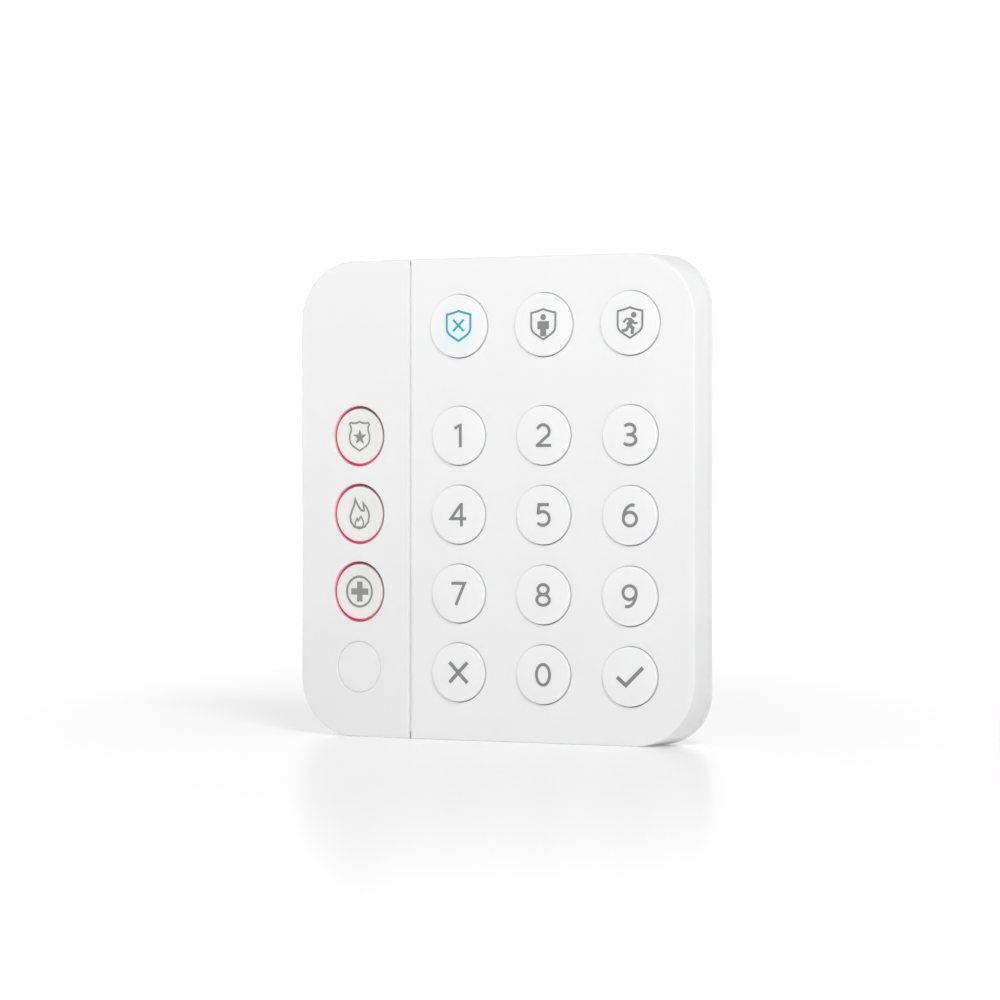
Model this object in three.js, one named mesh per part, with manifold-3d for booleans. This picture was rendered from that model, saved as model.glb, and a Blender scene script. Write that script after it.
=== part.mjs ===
// Wall or table alarm keypad: a round-cornered case with a field of domed keys, a sloping strip of
// emergency buttons on its left, a slide-on wall bracket behind, and the electronics in between.
// Millimetres, +Z up. The face looks along -Y; the origin is the middle of the footprint.
import * as THREE from 'three';
import { mergeVertices } from 'three/addons/utils/BufferGeometryUtils.js';
import Module from 'manifold-3d';

const wasm = await Module();
wasm.setup();

// ---- Face layout, edge to edge ---------------------------------------------------------------
const keyRadius = 8.15;
const modeKeyRadius = 8.75;
const columnGap = 9.85; // between the number keys of neighbouring columns
const rowGap = 5.7;
const modeRowGap = 13.6; // top number keys to the mode keys
const endMargin = 10.85; // last row of keys to the bottom edge
const topMargin = 10.25; // mode keys to the top edge
const rightMargin = 10.85; // last column of keys to the right edge
const dividerMargin = 7.35; // divider to the first column of keys
const stripWidth = 36.7;
const alertInset = 17.2; // divider to the middle of the emergency buttons
const stripAngle = THREE.MathUtils.degToRad(5.45); // how far the strip slopes back
const dividerGap = 0.5;
const tongueReach = 2.5; // the strip's tongue, each side of the divider
const tongueThickness = 1.2;
const frontCorner = 18; // corner radius at the face
const rearCorner = 14.5; // corner radius at the back

// ---- Keys and buttons --------------------------------------------------------------------
const alertRadius = 7.75;
const keyClearance = 0.3; // between a key and its hole
const buttonClearance = 0.25; // between an emergency button and its light collar
const fixedClearance = 0.15; // round a piece that is pressed into the strip
const keyEdge = 0.8; // height of a key's edge above the face
const keyCrown = 1.3; // height of a key's middle above the face
const keyTravel = 1.2;
const keyFlange = 0.9; // how far the flange reaches past the hole
const flangeThickness = 0.8;
const plungerRadius = 2.5;
const alertTravel = 0.8;
const alertFlange = 0.45; // how far a button's flange reaches past its hole
const alertFlangeThickness = 0.5;
const alertRimDepth = 0.35; // rim of an emergency button below the strip
const alertDishDepth = 1.0; // middle of its dish below the strip
const lightWidth = 0.45;
const lightDepth = 0.9; // front of a light collar below the strip
const windowRadius = 7.2;
const windowLift = 0.7; // sensor window above the last row of keys
const windowDepth = 0.1; // sensor window below the strip
const windowChamfer = 0.4;

// ---- Shell and stack, from the face to the wall --------------------------------------------
const wall = 1.8;
const faceThickness = 1.8;
const stripThickness = 1.5;
const stripGap = 0.15; // behind the strip, to a button's flange
const slack = 0.2; // running gap in the depth of the stack
const collarHeight = 0.9;
const collarRadius = 5.2;
const collarTopRadius = 4.4;
const wellRadius = 3.2;
const sheetThickness = 0.9;
const wellFloor = 0.3;
const filmThickness = 0.3;
const boardThickness = 1.6;
const bayDepth = 3.3; // behind the board, for the battery and the speaker
const floorThickness = 1.9; // back cover
const rimHeight = 2.7; // visible edge of the back cover
const seamGap = 0.16;
const lipThickness = 1.0;
const lipReach = 1.2; // how far the back cover's lip reaches into the front covers
const bracketGap = 0.3;
const bracketPlate = 1.6;
const bracketStandoff = 3.5; // front of the bracket's plate to the wall

const flangeFront = faceThickness + slack;
const flangeBack = flangeFront + flangeThickness;
const collarFront = flangeBack + keyTravel + slack;
const sheetFront = collarFront + collarHeight;
const boardFront = sheetFront + sheetThickness;
const boardBack = boardFront + boardThickness;
const floorFront = boardBack + bayDepth;
const rimDepth = floorFront + floorThickness;
const seamDepth = rimDepth - rimHeight;
const bracketFront = rimDepth + bracketGap;
const wallPlane = bracketFront + bracketStandoff;
const plungerTip = boardFront - wellFloor - keyTravel - slack / 2;

// ---- Pieces behind the face ----------------------------------------------------------------
const membraneReach = 7; // past the outer key centres
const membraneCorner = 3;
const filmGap = 0.15;
const sideSheet = { halfWidth: 6, reach: 8, thickness: 0.5, corner: 2 };
const boardMargin = 1.4; // board to the inside of the walls
const boardCorner = 12.3;
const sideScrewInset = 9.5; // left edge to the screws behind the strip
const bossRadius = 2.4;
const bossShoulder = 0.6;
const pilotRadius = 1.2;
const screwRadius = 1.05;
const screwHeadRadius = 2.3;
const screwHeadHeight = 0.9;
const screwLength = 5;
const driveCross = { depth: 0.6, long: 2.6, wide: 0.6 };
const bossClearance = 0.3;
const batterySize = { width: 60, height: 66, corner: 2 };
const boardParts = {
  batteryConnector: { width: 8, height: 5, thickness: 2.4 },
  processor: { width: 12, height: 12, thickness: 1.1 },
  radio: { width: 13, height: 18, thickness: 2.2 },
  antenna: { width: 14, height: 1.6, thickness: 2.6 },
};
const speakerRadius = 10;
const speakerOffset = { left: 5, up: 2 }; // from the last key
const magnetRadius = 6;
const magnetDepth = 1.2;
const gasketWidth = 1.2;
const gasketThickness = 0.5;
const slotPitch = 2.6; // sound slots
const slotHeight = 1;
const plugRecess = { width: 13, height: 8.6, corner: 1.5, wall: 1.1, floor: 0.6 };
const socketSize = { width: 7.6, height: 3, skin: 0.4, depth: 4 };
const bracketSize = { width: 88, height: 88, corner: 8, centreHeight: 78 };
const releaseTravel = 9; // how far the bracket slides before it lets go
const hookClearance = 0.3;
const hookHeadThickness = 1;
const studSpacing = 60;
const studRadius = 1.6;
const studHeadRadius = 3.2;
const claw = { height: 7, leg: 2, toe: 2.4, aboveBottom: 12 };
const bracketScrewRadius = 2.2;
const bracketBossRadius = 5;
const countersink = 1.4;
const centrePad = { width: 24, height: 18 };
const releaseTab = { width: 18, height: 5 };

// ---- Places worked out from the layout ------------------------------------------------------
const columnPitch = 2 * keyRadius + columnGap;
const rowPitch = 2 * keyRadius + rowGap;
const bodyWidth = stripWidth + dividerMargin + 2 * keyRadius + 2 * columnPitch + rightMargin;
const dividerX = stripWidth - bodyWidth / 2;
const columnX = [0, 1, 2].map((i) => dividerX + dividerMargin + keyRadius + i * columnPitch);
const rowZ = [3, 2, 1, 0].map((i) => endMargin + keyRadius + i * rowPitch);
const modeZ = rowZ[0] + keyRadius + modeRowGap + modeKeyRadius;
const bodyHeight = modeZ + modeKeyRadius + topMargin;
const alertX = dividerX - alertInset;
const alertSurface = alertInset * Math.tan(stripAngle);
const windowZ = rowZ[3] + windowLift;
const socketX = (columnX[0] + columnX[1]) / 2;
const socketZ = wall + 2 * slack + plugRecess.wall + plugRecess.height / 2;
const boardInset = wall + boardMargin;

const roundSegments = 16;
const smallSegments = 12;
const smallRadius = 4; // rounds under this radius take fewer sides
const cornerSegments = 6;
const plateCornerSegments = 3;
const far = 400; // larger than any piece, for half-space cuts

// ---- Finishes -------------------------------------------------------------------------------
function finish(color, roughness, metalness = 0) {
  return new THREE.MeshStandardMaterial({ color, roughness, metalness });
}

const whitePlastic = finish(0xf1f1f2, 0.45);
const keyPlastic = finish(0xf7f7f8, 0.4);
const alertPlastic = finish(0xe6e6e2, 0.4);
const redLens = finish(0xd81e4a, 0.3);
const windowPlastic = finish(0xededee, 0.35);
const silicone = finish(0xe8e8e4, 0.8);
const clearFilm = finish(0xdde6ea, 0.2);
const boardGreen = finish(0x1f6b45, 0.55);
const chipBlack = finish(0x1c1c1e, 0.5);
const steel = finish(0xb9bcc0, 0.3, 1);
const foil = finish(0xc9ccd0, 0.45, 0.6);
const ledWhite = finish(0xf6f2dc, 0.4);
const speakerBlack = finish(0x26272a, 0.6);
const bracketPlastic = finish(0xe4e4e5, 0.55);

// ---- Solids ---------------------------------------------------------------------------------
// A closed three.js geometry as a manifold-3d solid, without the triangles that collapse at a pole.
function solidOf(geometry) {
  const bare = geometry.index ? geometry.toNonIndexed() : geometry.clone();
  bare.deleteAttribute('normal');
  bare.deleteAttribute('uv');
  const merged = mergeVertices(bare, 1e-4);
  const triangles = [];
  const index = merged.index.array;
  for (let i = 0; i < index.length; i += 3) {
    const [a, b, c] = index.slice(i, i + 3);
    if (a !== b && b !== c && c !== a) triangles.push(a, b, c);
  }
  return new wasm.Manifold(
    new wasm.Mesh({
      numProp: 3,
      vertProperties: merged.attributes.position.array,
      triVerts: new Uint32Array(triangles),
    }),
  );
}

function geometryOf(solid) {
  const mesh = solid.getMesh();
  const geometry = new THREE.BufferGeometry();
  geometry.setAttribute('position', new THREE.BufferAttribute(mesh.vertProperties, mesh.numProp));
  geometry.setIndex(new THREE.BufferAttribute(mesh.triVerts, 1));
  geometry.computeVertexNormals();
  return geometry;
}

function place(geometry, x, y, z) {
  return geometry.translate(x, y, z);
}

// A box given by its lowest corner and its size.
function boxFrom(x, y, z, width, depth, height) {
  const geometry = new THREE.BoxGeometry(width, depth, height);
  return solidOf(place(geometry, x + width / 2, y + depth / 2, z + height / 2));
}

// A round bar along the depth, from one depth to another, which may taper towards the back.
function bar(x, z, radius, from, to, endRadius = radius) {
  const segments = radius < smallRadius ? smallSegments : roundSegments;
  const geometry = new THREE.CylinderGeometry(endRadius, radius, to - from, segments);
  return solidOf(place(geometry, x, (from + to) / 2, z));
}

// A turned piece about a depth axis; each profile point is [radius, depth], front first.
function turned(profile, segments = roundSegments) {
  const points = profile.map(([radius, depth]) => new THREE.Vector2(radius, depth));
  return solidOf(new THREE.LatheGeometry(points, segments));
}

// Rounded rectangle, seen from the front, as a shape in x and z.
function roundedShape(left, bottom, width, height, radius) {
  const shape = new THREE.Shape();
  const [right, top] = [left + width, bottom + height];
  shape.absarc(right - radius, bottom + radius, radius, -Math.PI / 2, 0);
  shape.absarc(right - radius, top - radius, radius, 0, Math.PI / 2);
  shape.absarc(left + radius, top - radius, radius, Math.PI / 2, Math.PI);
  shape.absarc(left + radius, bottom + radius, radius, Math.PI, 1.5 * Math.PI);
  shape.closePath();
  return shape;
}

// A flat plate of a shape in x and z, from a depth, with a thickness.
function plate(shape, from, thickness) {
  const geometry = new THREE.ExtrudeGeometry(shape, {
    depth: thickness,
    bevelEnabled: false,
    curveSegments: plateCornerSegments,
  });
  return solidOf(place(geometry.rotateX(Math.PI / 2), 0, from + thickness, 0));
}

// The body's outline at a depth, inset by a margin. Its corners tighten from the face to the back.
function bodyOutline(depth, inset) {
  const radius = THREE.MathUtils.lerp(frontCorner, rearCorner, depth / rimDepth) - inset;
  const [x, top] = [bodyWidth / 2 - inset - radius, bodyHeight - inset - radius];
  const centres = [
    [x, inset + radius, -90],
    [x, top, 0],
    [-x, top, 90],
    [-x, inset + radius, 180],
  ];
  return centres.flatMap(([cx, cz, start]) =>
    Array.from({ length: cornerSegments + 1 }, (_, i) => {
      const angle = THREE.MathUtils.degToRad(start + (90 * i) / cornerSegments);
      return [cx + radius * Math.cos(angle), cz + radius * Math.sin(angle)];
    }),
  );
}

// The solid between two depths of the body's outline.
function bodyBlock(from, to, inset = 0) {
  const [front, back] = [bodyOutline(from, inset), bodyOutline(to, inset)];
  const count = front.length;
  const position = [];
  front.forEach(([x, z]) => position.push(x, from, z));
  back.forEach(([x, z]) => position.push(x, to, z));
  const index = [];
  for (let i = 0; i < count; i++) {
    const j = (i + 1) % count;
    index.push(i, count + i, j, j, count + i, count + j);
    if (i > 0 && i < count - 1) {
      index.push(0, i, i + 1);
      index.push(count, count + i + 1, count + i);
    }
  }
  const geometry = new THREE.BufferGeometry();
  geometry.setAttribute('position', new THREE.Float32BufferAttribute(position, 3));
  geometry.setIndex(index);
  return solidOf(geometry);
}

// Everything in front of the strip's plane, pushed back by an offset into the body.
function frontOfStrip(offset) {
  const geometry = new THREE.BoxGeometry(far, far, far);
  geometry.translate(0, offset - far / 2, 0);
  geometry.rotateZ(-stripAngle);
  return solidOf(place(geometry, dividerX, 0, bodyHeight / 2));
}

const leftOf = (x) => boxFrom(x - far, -far / 2, -far / 2, far, far, far);
const rightOf = (x) => boxFrom(x, -far / 2, -far / 2, far, far, far);
const depthOfStrip = (x) => (dividerX - x) * Math.tan(stripAngle);

// ---- Groups: the panel, and the sloping strip's own frame -----------------------------------
const panel = new THREE.Group();
panel.position.y = -(wallPlane - keyCrown) / 2;

function addMesh(parent, name, solid, material) {
  const mesh = new THREE.Mesh(geometryOf(solid), material);
  mesh.name = name;
  parent.add(mesh);
  return mesh;
}

// A frame on the strip's surface, square to it, at the emergency buttons' middle line.
function stripFrame(z) {
  const frame = new THREE.Group();
  frame.position.set(alertX, alertSurface, z);
  frame.rotation.z = -stripAngle;
  panel.add(frame);
  return frame;
}

// ---- Covers -----------------------------------------------------------------------------------
const keyHoleRadius = keyRadius + keyClearance;
const modeHoleRadius = modeKeyRadius + keyClearance;
const alertHoleRadius = alertRadius + buttonClearance + lightWidth + fixedClearance;
const windowHoleRadius = windowRadius + fixedClearance;

const numberKeys = [
  ['1', '2', '3'],
  ['4', '5', '6'],
  ['7', '8', '9'],
  ['cancel', '0', 'enter'],
].flatMap((row, r) => row.map((label, c) => ({ label, x: columnX[c], z: rowZ[r] })));
const modeKeys = ['disarm', 'home', 'away'].map((label, c) => ({ label, x: columnX[c], z: modeZ }));
const alertButtons = ['police', 'fire', 'medical'].map((label, r) => ({ label, z: rowZ[r] }));

// The case screws sit diagonally outside the corner keys, as near as the keys' flanges let them.
const bossFoot = bossRadius + bossShoulder;
const screwReach = (holeRadius) => holeRadius + keyFlange + bossFoot + 2 * bossClearance;
const [lowReach, highReach] = [screwReach(keyHoleRadius), screwReach(modeHoleRadius)];
const diagonal = (reach) => reach / Math.SQRT2;
const besideTongue = dividerX + tongueReach + bossClearance + bossFoot;
const rise = (reach) => Math.max(diagonal(reach), Math.sqrt(reach ** 2 - (columnX[0] - besideTongue) ** 2));
const [lowZ, highZ] = [rowZ[3] - rise(lowReach), modeZ + rise(highReach)];
const keyCoverScrews = [
  [besideTongue, lowZ],
  [besideTongue, highZ],
  [columnX[2] + diagonal(lowReach), rowZ[3] - diagonal(lowReach)],
  [columnX[2] + diagonal(highReach), modeZ + diagonal(highReach)],
];
const sideCoverScrews = [lowZ, highZ].map((z) => [sideScrewInset - bodyWidth / 2, z]);
const allScrews = [...keyCoverScrews, ...sideCoverScrews];

// A screw boss: a wide foot that the board sits on, and a narrower end that passes through it.
function withBosses(cover, places, footDepth) {
  for (const [x, z] of places) {
    cover = cover
      .add(bar(x, z, bossFoot, footDepth(x), boardFront))
      .add(bar(x, z, bossRadius, footDepth(x), floorFront - slack))
      .subtract(bar(x, z, pilotRadius, boardFront - 1, floorFront + 1));
  }
  return cover;
}

function keyCover() {
  const coverEnd = seamDepth - seamGap / 2;
  let cover = bodyBlock(0, coverEnd)
    .subtract(bodyBlock(faceThickness, coverEnd + 1, wall))
    .intersect(rightOf(dividerX + dividerGap / 2));
  for (const { x, z } of numberKeys) cover = cover.subtract(bar(x, z, keyHoleRadius, -1, faceThickness + 1));
  for (const { x, z } of modeKeys) cover = cover.subtract(bar(x, z, modeHoleRadius, -1, faceThickness + 1));
  return withBosses(cover, keyCoverScrews, () => faceThickness / 2);
}

// A round cut square to the strip.
function stripCut(z, radius) {
  const geometry = new THREE.CylinderGeometry(radius, radius, 8, roundSegments);
  geometry.rotateZ(-stripAngle);
  return solidOf(place(geometry, alertX, alertSurface, z));
}

function sideCover() {
  const coverEnd = seamDepth - seamGap / 2;
  const tongueFront = faceThickness + slack;
  const tongueLeft = dividerX - tongueReach;
  let cover = bodyBlock(0, coverEnd)
    .subtract(frontOfStrip(0))
    .subtract(bodyBlock(-1, coverEnd + 1, wall).subtract(frontOfStrip(stripThickness)))
    .intersect(leftOf(dividerX - dividerGap / 2));
  const root = boxFrom(tongueLeft, stripThickness / 2, wall / 2, tongueReach - dividerGap / 2,
    tongueFront + tongueThickness - stripThickness / 2, bodyHeight - wall);
  const shelf = boxFrom(tongueLeft, tongueFront, wall + slack, 2 * tongueReach, tongueThickness,
    bodyHeight - 2 * (wall + slack));
  cover = cover.add(root).add(shelf);
  for (const { z } of alertButtons) cover = cover.subtract(stripCut(z, alertHoleRadius));
  cover = cover.subtract(stripCut(windowZ, windowHoleRadius));
  return withBosses(cover, sideCoverScrews, (x) => depthOfStrip(x) + stripThickness / 2);
}

function backCover() {
  const lipInset = wall + slack;
  const lipFront = seamDepth - lipReach;
  let cover = bodyBlock(seamDepth + seamGap / 2, rimDepth)
    .add(bodyBlock(lipFront, (floorFront + rimDepth) / 2, lipInset))
    .subtract(bodyBlock(lipFront - 1, floorFront, lipInset + lipThickness));
  for (const [x, z] of allScrews) {
    cover = cover
      .subtract(bar(x, z, pilotRadius + slack / 2, floorFront - 1, rimDepth + 1))
      .subtract(bar(x, z, screwHeadRadius + slack, rimDepth - screwHeadHeight - slack, rimDepth + 1));
  }
  for (const x of studX) {
    cover = cover
      .add(bar(x, studZ, studRadius, floorFront + floorThickness / 2, hookBack))
      .add(bar(x, studZ, studHeadRadius, hookBack - hookHeadThickness, hookBack));
  }
  for (const side of [-1, 1]) cover = cover.add(clawOn(side));
  // Sound slots behind the speaker
  for (const i of [-2, -1, 0, 1, 2]) {
    const half = Math.sqrt((speakerRadius - gasketWidth) ** 2 - (i * slotPitch) ** 2) - slotHeight / 2;
    const bottom = speakerZ + i * slotPitch - slotHeight / 2;
    cover = cover.subtract(
      boxFrom(speakerX - half, floorFront - 1, bottom, 2 * half, floorThickness + 2, slotHeight));
  }
  return cover.add(recessBlock(plugRecess.wall, recessFloorFront, rimDepth)).subtract(plugRecessCut());
}

// The bracket hangs on two studs in its top edge and between two claws at its lower sides.
const bracketTop = bracketSize.centreHeight + bracketSize.height / 2;
const bracketBottom = bracketTop - bracketSize.height;
const hookBack = bracketFront + bracketPlate + hookClearance + hookHeadThickness;
const studX = [-studSpacing / 2, studSpacing / 2];
const studZ = bracketTop - releaseTravel + studHeadRadius + hookClearance;
const clawZ = bracketBottom + claw.aboveBottom;

function clawOn(side) {
  const outer = bracketSize.width / 2 + hookClearance;
  const left = (x, width) => (side > 0 ? x : -x - width);
  const from = rimDepth - floorThickness / 2;
  const leg = boxFrom(left(outer, claw.leg), from, clawZ, claw.leg, hookBack - from, claw.height);
  const toe = boxFrom(left(outer - claw.toe, claw.toe + claw.leg), hookBack - hookHeadThickness, clawZ,
    claw.toe + claw.leg, hookHeadThickness, claw.height);
  return leg.add(toe);
}

// The charging plug's recess: a rounded pocket with a slot for the socket in its floor.
const recessFloorFront = boardBack + bossClearance;
const recessFloorBack = recessFloorFront + plugRecess.floor;

function recessBlock(margin, from, to) {
  const width = plugRecess.width + 2 * margin;
  const height = plugRecess.height + 2 * margin;
  const [left, bottom] = [socketX - width / 2, socketZ - height / 2];
  return plate(roundedShape(left, bottom, width, height, plugRecess.corner + margin), from, to - from);
}

function plugRecessCut() {
  const { width, height } = socketSize;
  const slot = boxFrom(socketX - width / 2 - slack, recessFloorFront - 1, socketZ - height / 2 - slack,
    width + 2 * slack, plugRecess.floor + 2, height + 2 * slack);
  return recessBlock(0, recessFloorBack, rimDepth + 1).add(slot);
}

// ---- Keys -------------------------------------------------------------------------------------
function keyCap(radius) {
  const flangeRadius = radius + keyClearance + keyFlange;
  return turned([
    [0, -keyCrown],
    [radius * 0.55, -keyCrown + (keyCrown - keyEdge) * 0.3],
    [radius, -keyEdge],
    [radius, flangeFront],
    [flangeRadius, flangeFront],
    [flangeRadius, flangeBack],
    [plungerRadius, flangeBack],
    [plungerRadius, plungerTip],
    [0, plungerTip],
  ]);
}

const alertFlangeFront = stripThickness + stripGap;
const alertFlangeRadius = alertHoleRadius + alertFlange;
const alertContact =
  (boardFront - alertSurface) / Math.cos(stripAngle) - plungerRadius * Math.tan(stripAngle);

function alertCap() {
  const flangeBackEdge = alertFlangeFront + alertFlangeThickness;
  const tip = alertContact - alertTravel - slack / 2;
  return turned([
    [0, alertDishDepth],
    [alertRadius * 0.6, THREE.MathUtils.lerp(alertDishDepth, alertRimDepth, 0.4)],
    [alertRadius * 0.95, alertRimDepth],
    [alertRadius, alertRimDepth + 0.2],
    [alertRadius, alertFlangeFront],
    [alertFlangeRadius, alertFlangeFront],
    [alertFlangeRadius, flangeBackEdge],
    [plungerRadius, flangeBackEdge],
    [plungerRadius, tip],
    [0, tip],
  ]);
}

function lightCollar() {
  const inner = alertRadius + buttonClearance;
  const outer = alertHoleRadius - fixedClearance;
  const [front, back] = [lightDepth, stripThickness];
  return turned([
    [inner, front],
    [outer, front],
    [outer, back],
    [inner, back],
    [inner, front],
  ]);
}

function sensorWindow() {
  const flangeRadius = windowHoleRadius + alertFlange;
  const flangeBackEdge = alertFlangeFront + alertFlangeThickness;
  return turned([
    [0, windowDepth],
    [windowRadius - windowChamfer, windowDepth],
    [windowRadius, windowDepth + windowChamfer],
    [windowRadius, alertFlangeFront],
    [flangeRadius, alertFlangeFront],
    [flangeRadius, flangeBackEdge],
    [0, flangeBackEdge],
  ]);
}

// ---- Inside -----------------------------------------------------------------------------------
const ledSize = { width: 2, height: 1.2, depth: 0.7 };
const ledDrop = 6.8; // from a mode key's middle down to its LED
const sensorSize = { width: 7, depth: 1.2 };
const keyPlaces = [...modeKeys, ...numberKeys];

// The outline that the membrane and the film share.
function fieldShape() {
  const [width, height] = [2 * (columnPitch + membraneReach), modeZ - rowZ[3] + 2 * membraneReach];
  return roundedShape(columnX[0] - membraneReach, rowZ[3] - membraneReach, width, height, membraneCorner);
}

function keyMembrane() {
  let sheet = plate(fieldShape(), sheetFront, sheetThickness);
  for (const { x, z } of keyPlaces) {
    const foot = sheetFront + sheetThickness / 2;
    sheet = sheet
      .add(bar(x, z, collarTopRadius, collarFront, foot, collarRadius))
      .subtract(bar(x, z, wellRadius, collarFront - 1, boardFront - wellFloor));
  }
  for (const { x, z } of modeKeys) sheet = sheet.subtract(ledPocket(x, z - ledDrop));
  return sheet;
}

function ledPocket(x, z) {
  const [width, height] = [ledSize.width + 2 * slack, ledSize.height + 2 * slack];
  return boxFrom(x - width / 2, sheetFront - 1, z - height / 2, width, sheetThickness + 2, height);
}

function backlightFilm() {
  const front = sheetFront - filmGap - filmThickness;
  let film = plate(fieldShape(), front, filmThickness);
  for (const { x, z } of keyPlaces)
    film = film.subtract(bar(x, z, collarRadius + slack, front - 1, sheetFront));
  return film;
}

function sideMembrane() {
  const { halfWidth, reach, thickness, corner } = sideSheet;
  const height = rowZ[0] - rowZ[2] + 2 * reach;
  const shape = roundedShape(alertX - halfWidth, rowZ[2] - reach, 2 * halfWidth, height, corner);
  let sheet = plate(shape, boardFront - thickness, thickness);
  for (const { z } of alertButtons)
    sheet = sheet.subtract(bar(alertX, z, wellRadius, boardFront - 2, boardFront + 1));
  return sheet;
}

function mainBoard() {
  const shape = roundedShape(-bodyWidth / 2 + boardInset, boardInset, bodyWidth - 2 * boardInset,
    bodyHeight - 2 * boardInset, boardCorner);
  let board = plate(shape, boardFront, boardThickness);
  for (const [x, z] of allScrews)
    board = board.subtract(bar(x, z, bossRadius + bossClearance, boardFront - 1, boardBack + 1));
  const { width, height } = socketSize;
  return board.subtract(boxFrom(socketX - width / 2 - slack, boardFront - 1, socketZ - height / 2 - slack,
    width + 2 * slack, boardThickness + 2, height + 2 * slack));
}

function led(x, z) {
  return boxFrom(x - ledSize.width / 2, boardFront - ledSize.depth, z - ledSize.height / 2,
    ledSize.width, ledSize.depth, ledSize.height);
}

function motionSensor() {
  const { width, depth } = sensorSize;
  return boxFrom(alertX - width / 2, boardFront - depth, windowZ - width / 2, width, depth, width);
}

// A component on the back of the board, behind the emergency buttons.
function onBoardBack(z, { width, height, thickness }) {
  return boxFrom(alertX - width / 2, boardBack, z - height / 2, width, thickness, height);
}

function batteryCell() {
  const shape = roundedShape(-batterySize.width / 2, bracketSize.centreHeight - batterySize.height / 2,
    batterySize.width, batterySize.height, batterySize.corner);
  return plate(shape, boardBack + slack, bayDepth - 2 * slack);
}

const speakerX = columnX[2] - speakerOffset.left;
const speakerZ = rowZ[3] + speakerOffset.up;

function speaker() {
  const front = boardBack + slack;
  return bar(speakerX, speakerZ, magnetRadius, front, front + magnetDepth + slack)
    .add(bar(speakerX, speakerZ, speakerRadius, front + magnetDepth, floorFront - gasketThickness));
}

function speakerGasket() {
  const hole = bar(speakerX, speakerZ, speakerRadius - gasketWidth, floorFront - 1, floorFront + 1);
  return bar(speakerX, speakerZ, speakerRadius, floorFront - gasketThickness, floorFront).subtract(hole);
}

function chargingSocket() {
  const { width, height, skin, depth } = socketSize;
  const mouth = recessFloorBack;
  const cavity = boxFrom(socketX - width / 2 + skin, mouth - depth + skin, socketZ - height / 2 + skin,
    width - 2 * skin, depth, height - 2 * skin);
  const tongue = boxFrom(socketX - width / 4, mouth - depth + skin / 2, socketZ - skin / 2,
    width / 2, depth - 1, skin);
  return boxFrom(socketX - width / 2, mouth - depth, socketZ - height / 2, width, depth, height)
    .subtract(cavity)
    .add(tongue);
}

function caseScrew([x, z]) {
  const headBack = rimDepth - slack / 2;
  const headFront = headBack - screwHeadHeight;
  const { depth, long, wide } = driveCross;
  const cut = (width, height) =>
    boxFrom(x - width / 2, headBack - depth, z - height / 2, width, depth + 1, height);
  return bar(x, z, screwRadius, headFront - screwLength, headFront + screwHeadHeight / 4)
    .add(bar(x, z, screwHeadRadius, headFront, headBack))
    .subtract(cut(long, wide))
    .subtract(cut(wide, long));
}

// ---- Wall bracket: a plate on pads, slotted at the top edge and notched at the sides ----------
function wallBracket() {
  const { width, height, corner, centreHeight } = bracketSize;
  const plateBack = bracketFront + bracketPlate;
  const shape = roundedShape(-width / 2, bracketBottom, width, height, corner);
  let bracket = plate(shape, bracketFront, bracketPlate);
  for (const [x, z] of bracketScrews()) {
    bracket = bracket
      .add(bar(x, z, bracketBossRadius, bracketFront + bracketPlate / 2, wallPlane))
      .subtract(bar(x, z, bracketScrewRadius, bracketFront - 1, wallPlane + 1))
      .subtract(bar(x, z, bracketScrewRadius + countersink, bracketFront, bracketFront + countersink,
        bracketScrewRadius));
  }
  bracket = bracket.add(boxFrom(-centrePad.width / 2, plateBack - bracketPlate / 2,
    centreHeight - centrePad.height / 2, centrePad.width, wallPlane - plateBack + bracketPlate / 2,
    centrePad.height));
  const slotHalf = studRadius + hookClearance;
  const slotEnd = studZ;
  for (const x of studX) {
    bracket = bracket
      .subtract(bar(x, slotEnd, slotHalf, bracketFront - 1, plateBack + 1))
      .subtract(boxFrom(x - slotHalf, bracketFront - 1, slotEnd, 2 * slotHalf, bracketPlate + 2,
        releaseTravel + 1));
  }
  const notch = { depth: claw.toe + hookClearance, height: claw.height + 2 * hookClearance };
  const notchZ = clawZ + releaseTravel - hookClearance;
  for (const x of [-width / 2 - 1, width / 2 - notch.depth]) {
    bracket = bracket.subtract(
      boxFrom(x, bracketFront - 1, notchZ, notch.depth + 1, bracketPlate + 2, notch.height));
  }
  return bracket.add(boxFrom(-releaseTab.width / 2, bracketFront, bracketBottom - releaseTab.height,
    releaseTab.width, bracketPlate, 2 * releaseTab.height));
}

function bracketScrews() {
  const inset = bracketBossRadius + bracketSize.corner / 2;
  const [x, z] = [bracketSize.width / 2 - inset, bracketSize.height / 2 - inset];
  const middle = bracketSize.centreHeight;
  return [[-x, middle], [x, middle], [0, middle - z], [0, middle + z]];
}

// ---- Assembly ---------------------------------------------------------------------------------
addMesh(panel, 'key_cover', keyCover(), whitePlastic);
addMesh(panel, 'side_cover', sideCover(), whitePlastic);
addMesh(panel, 'back_cover', backCover(), whitePlastic);

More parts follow.
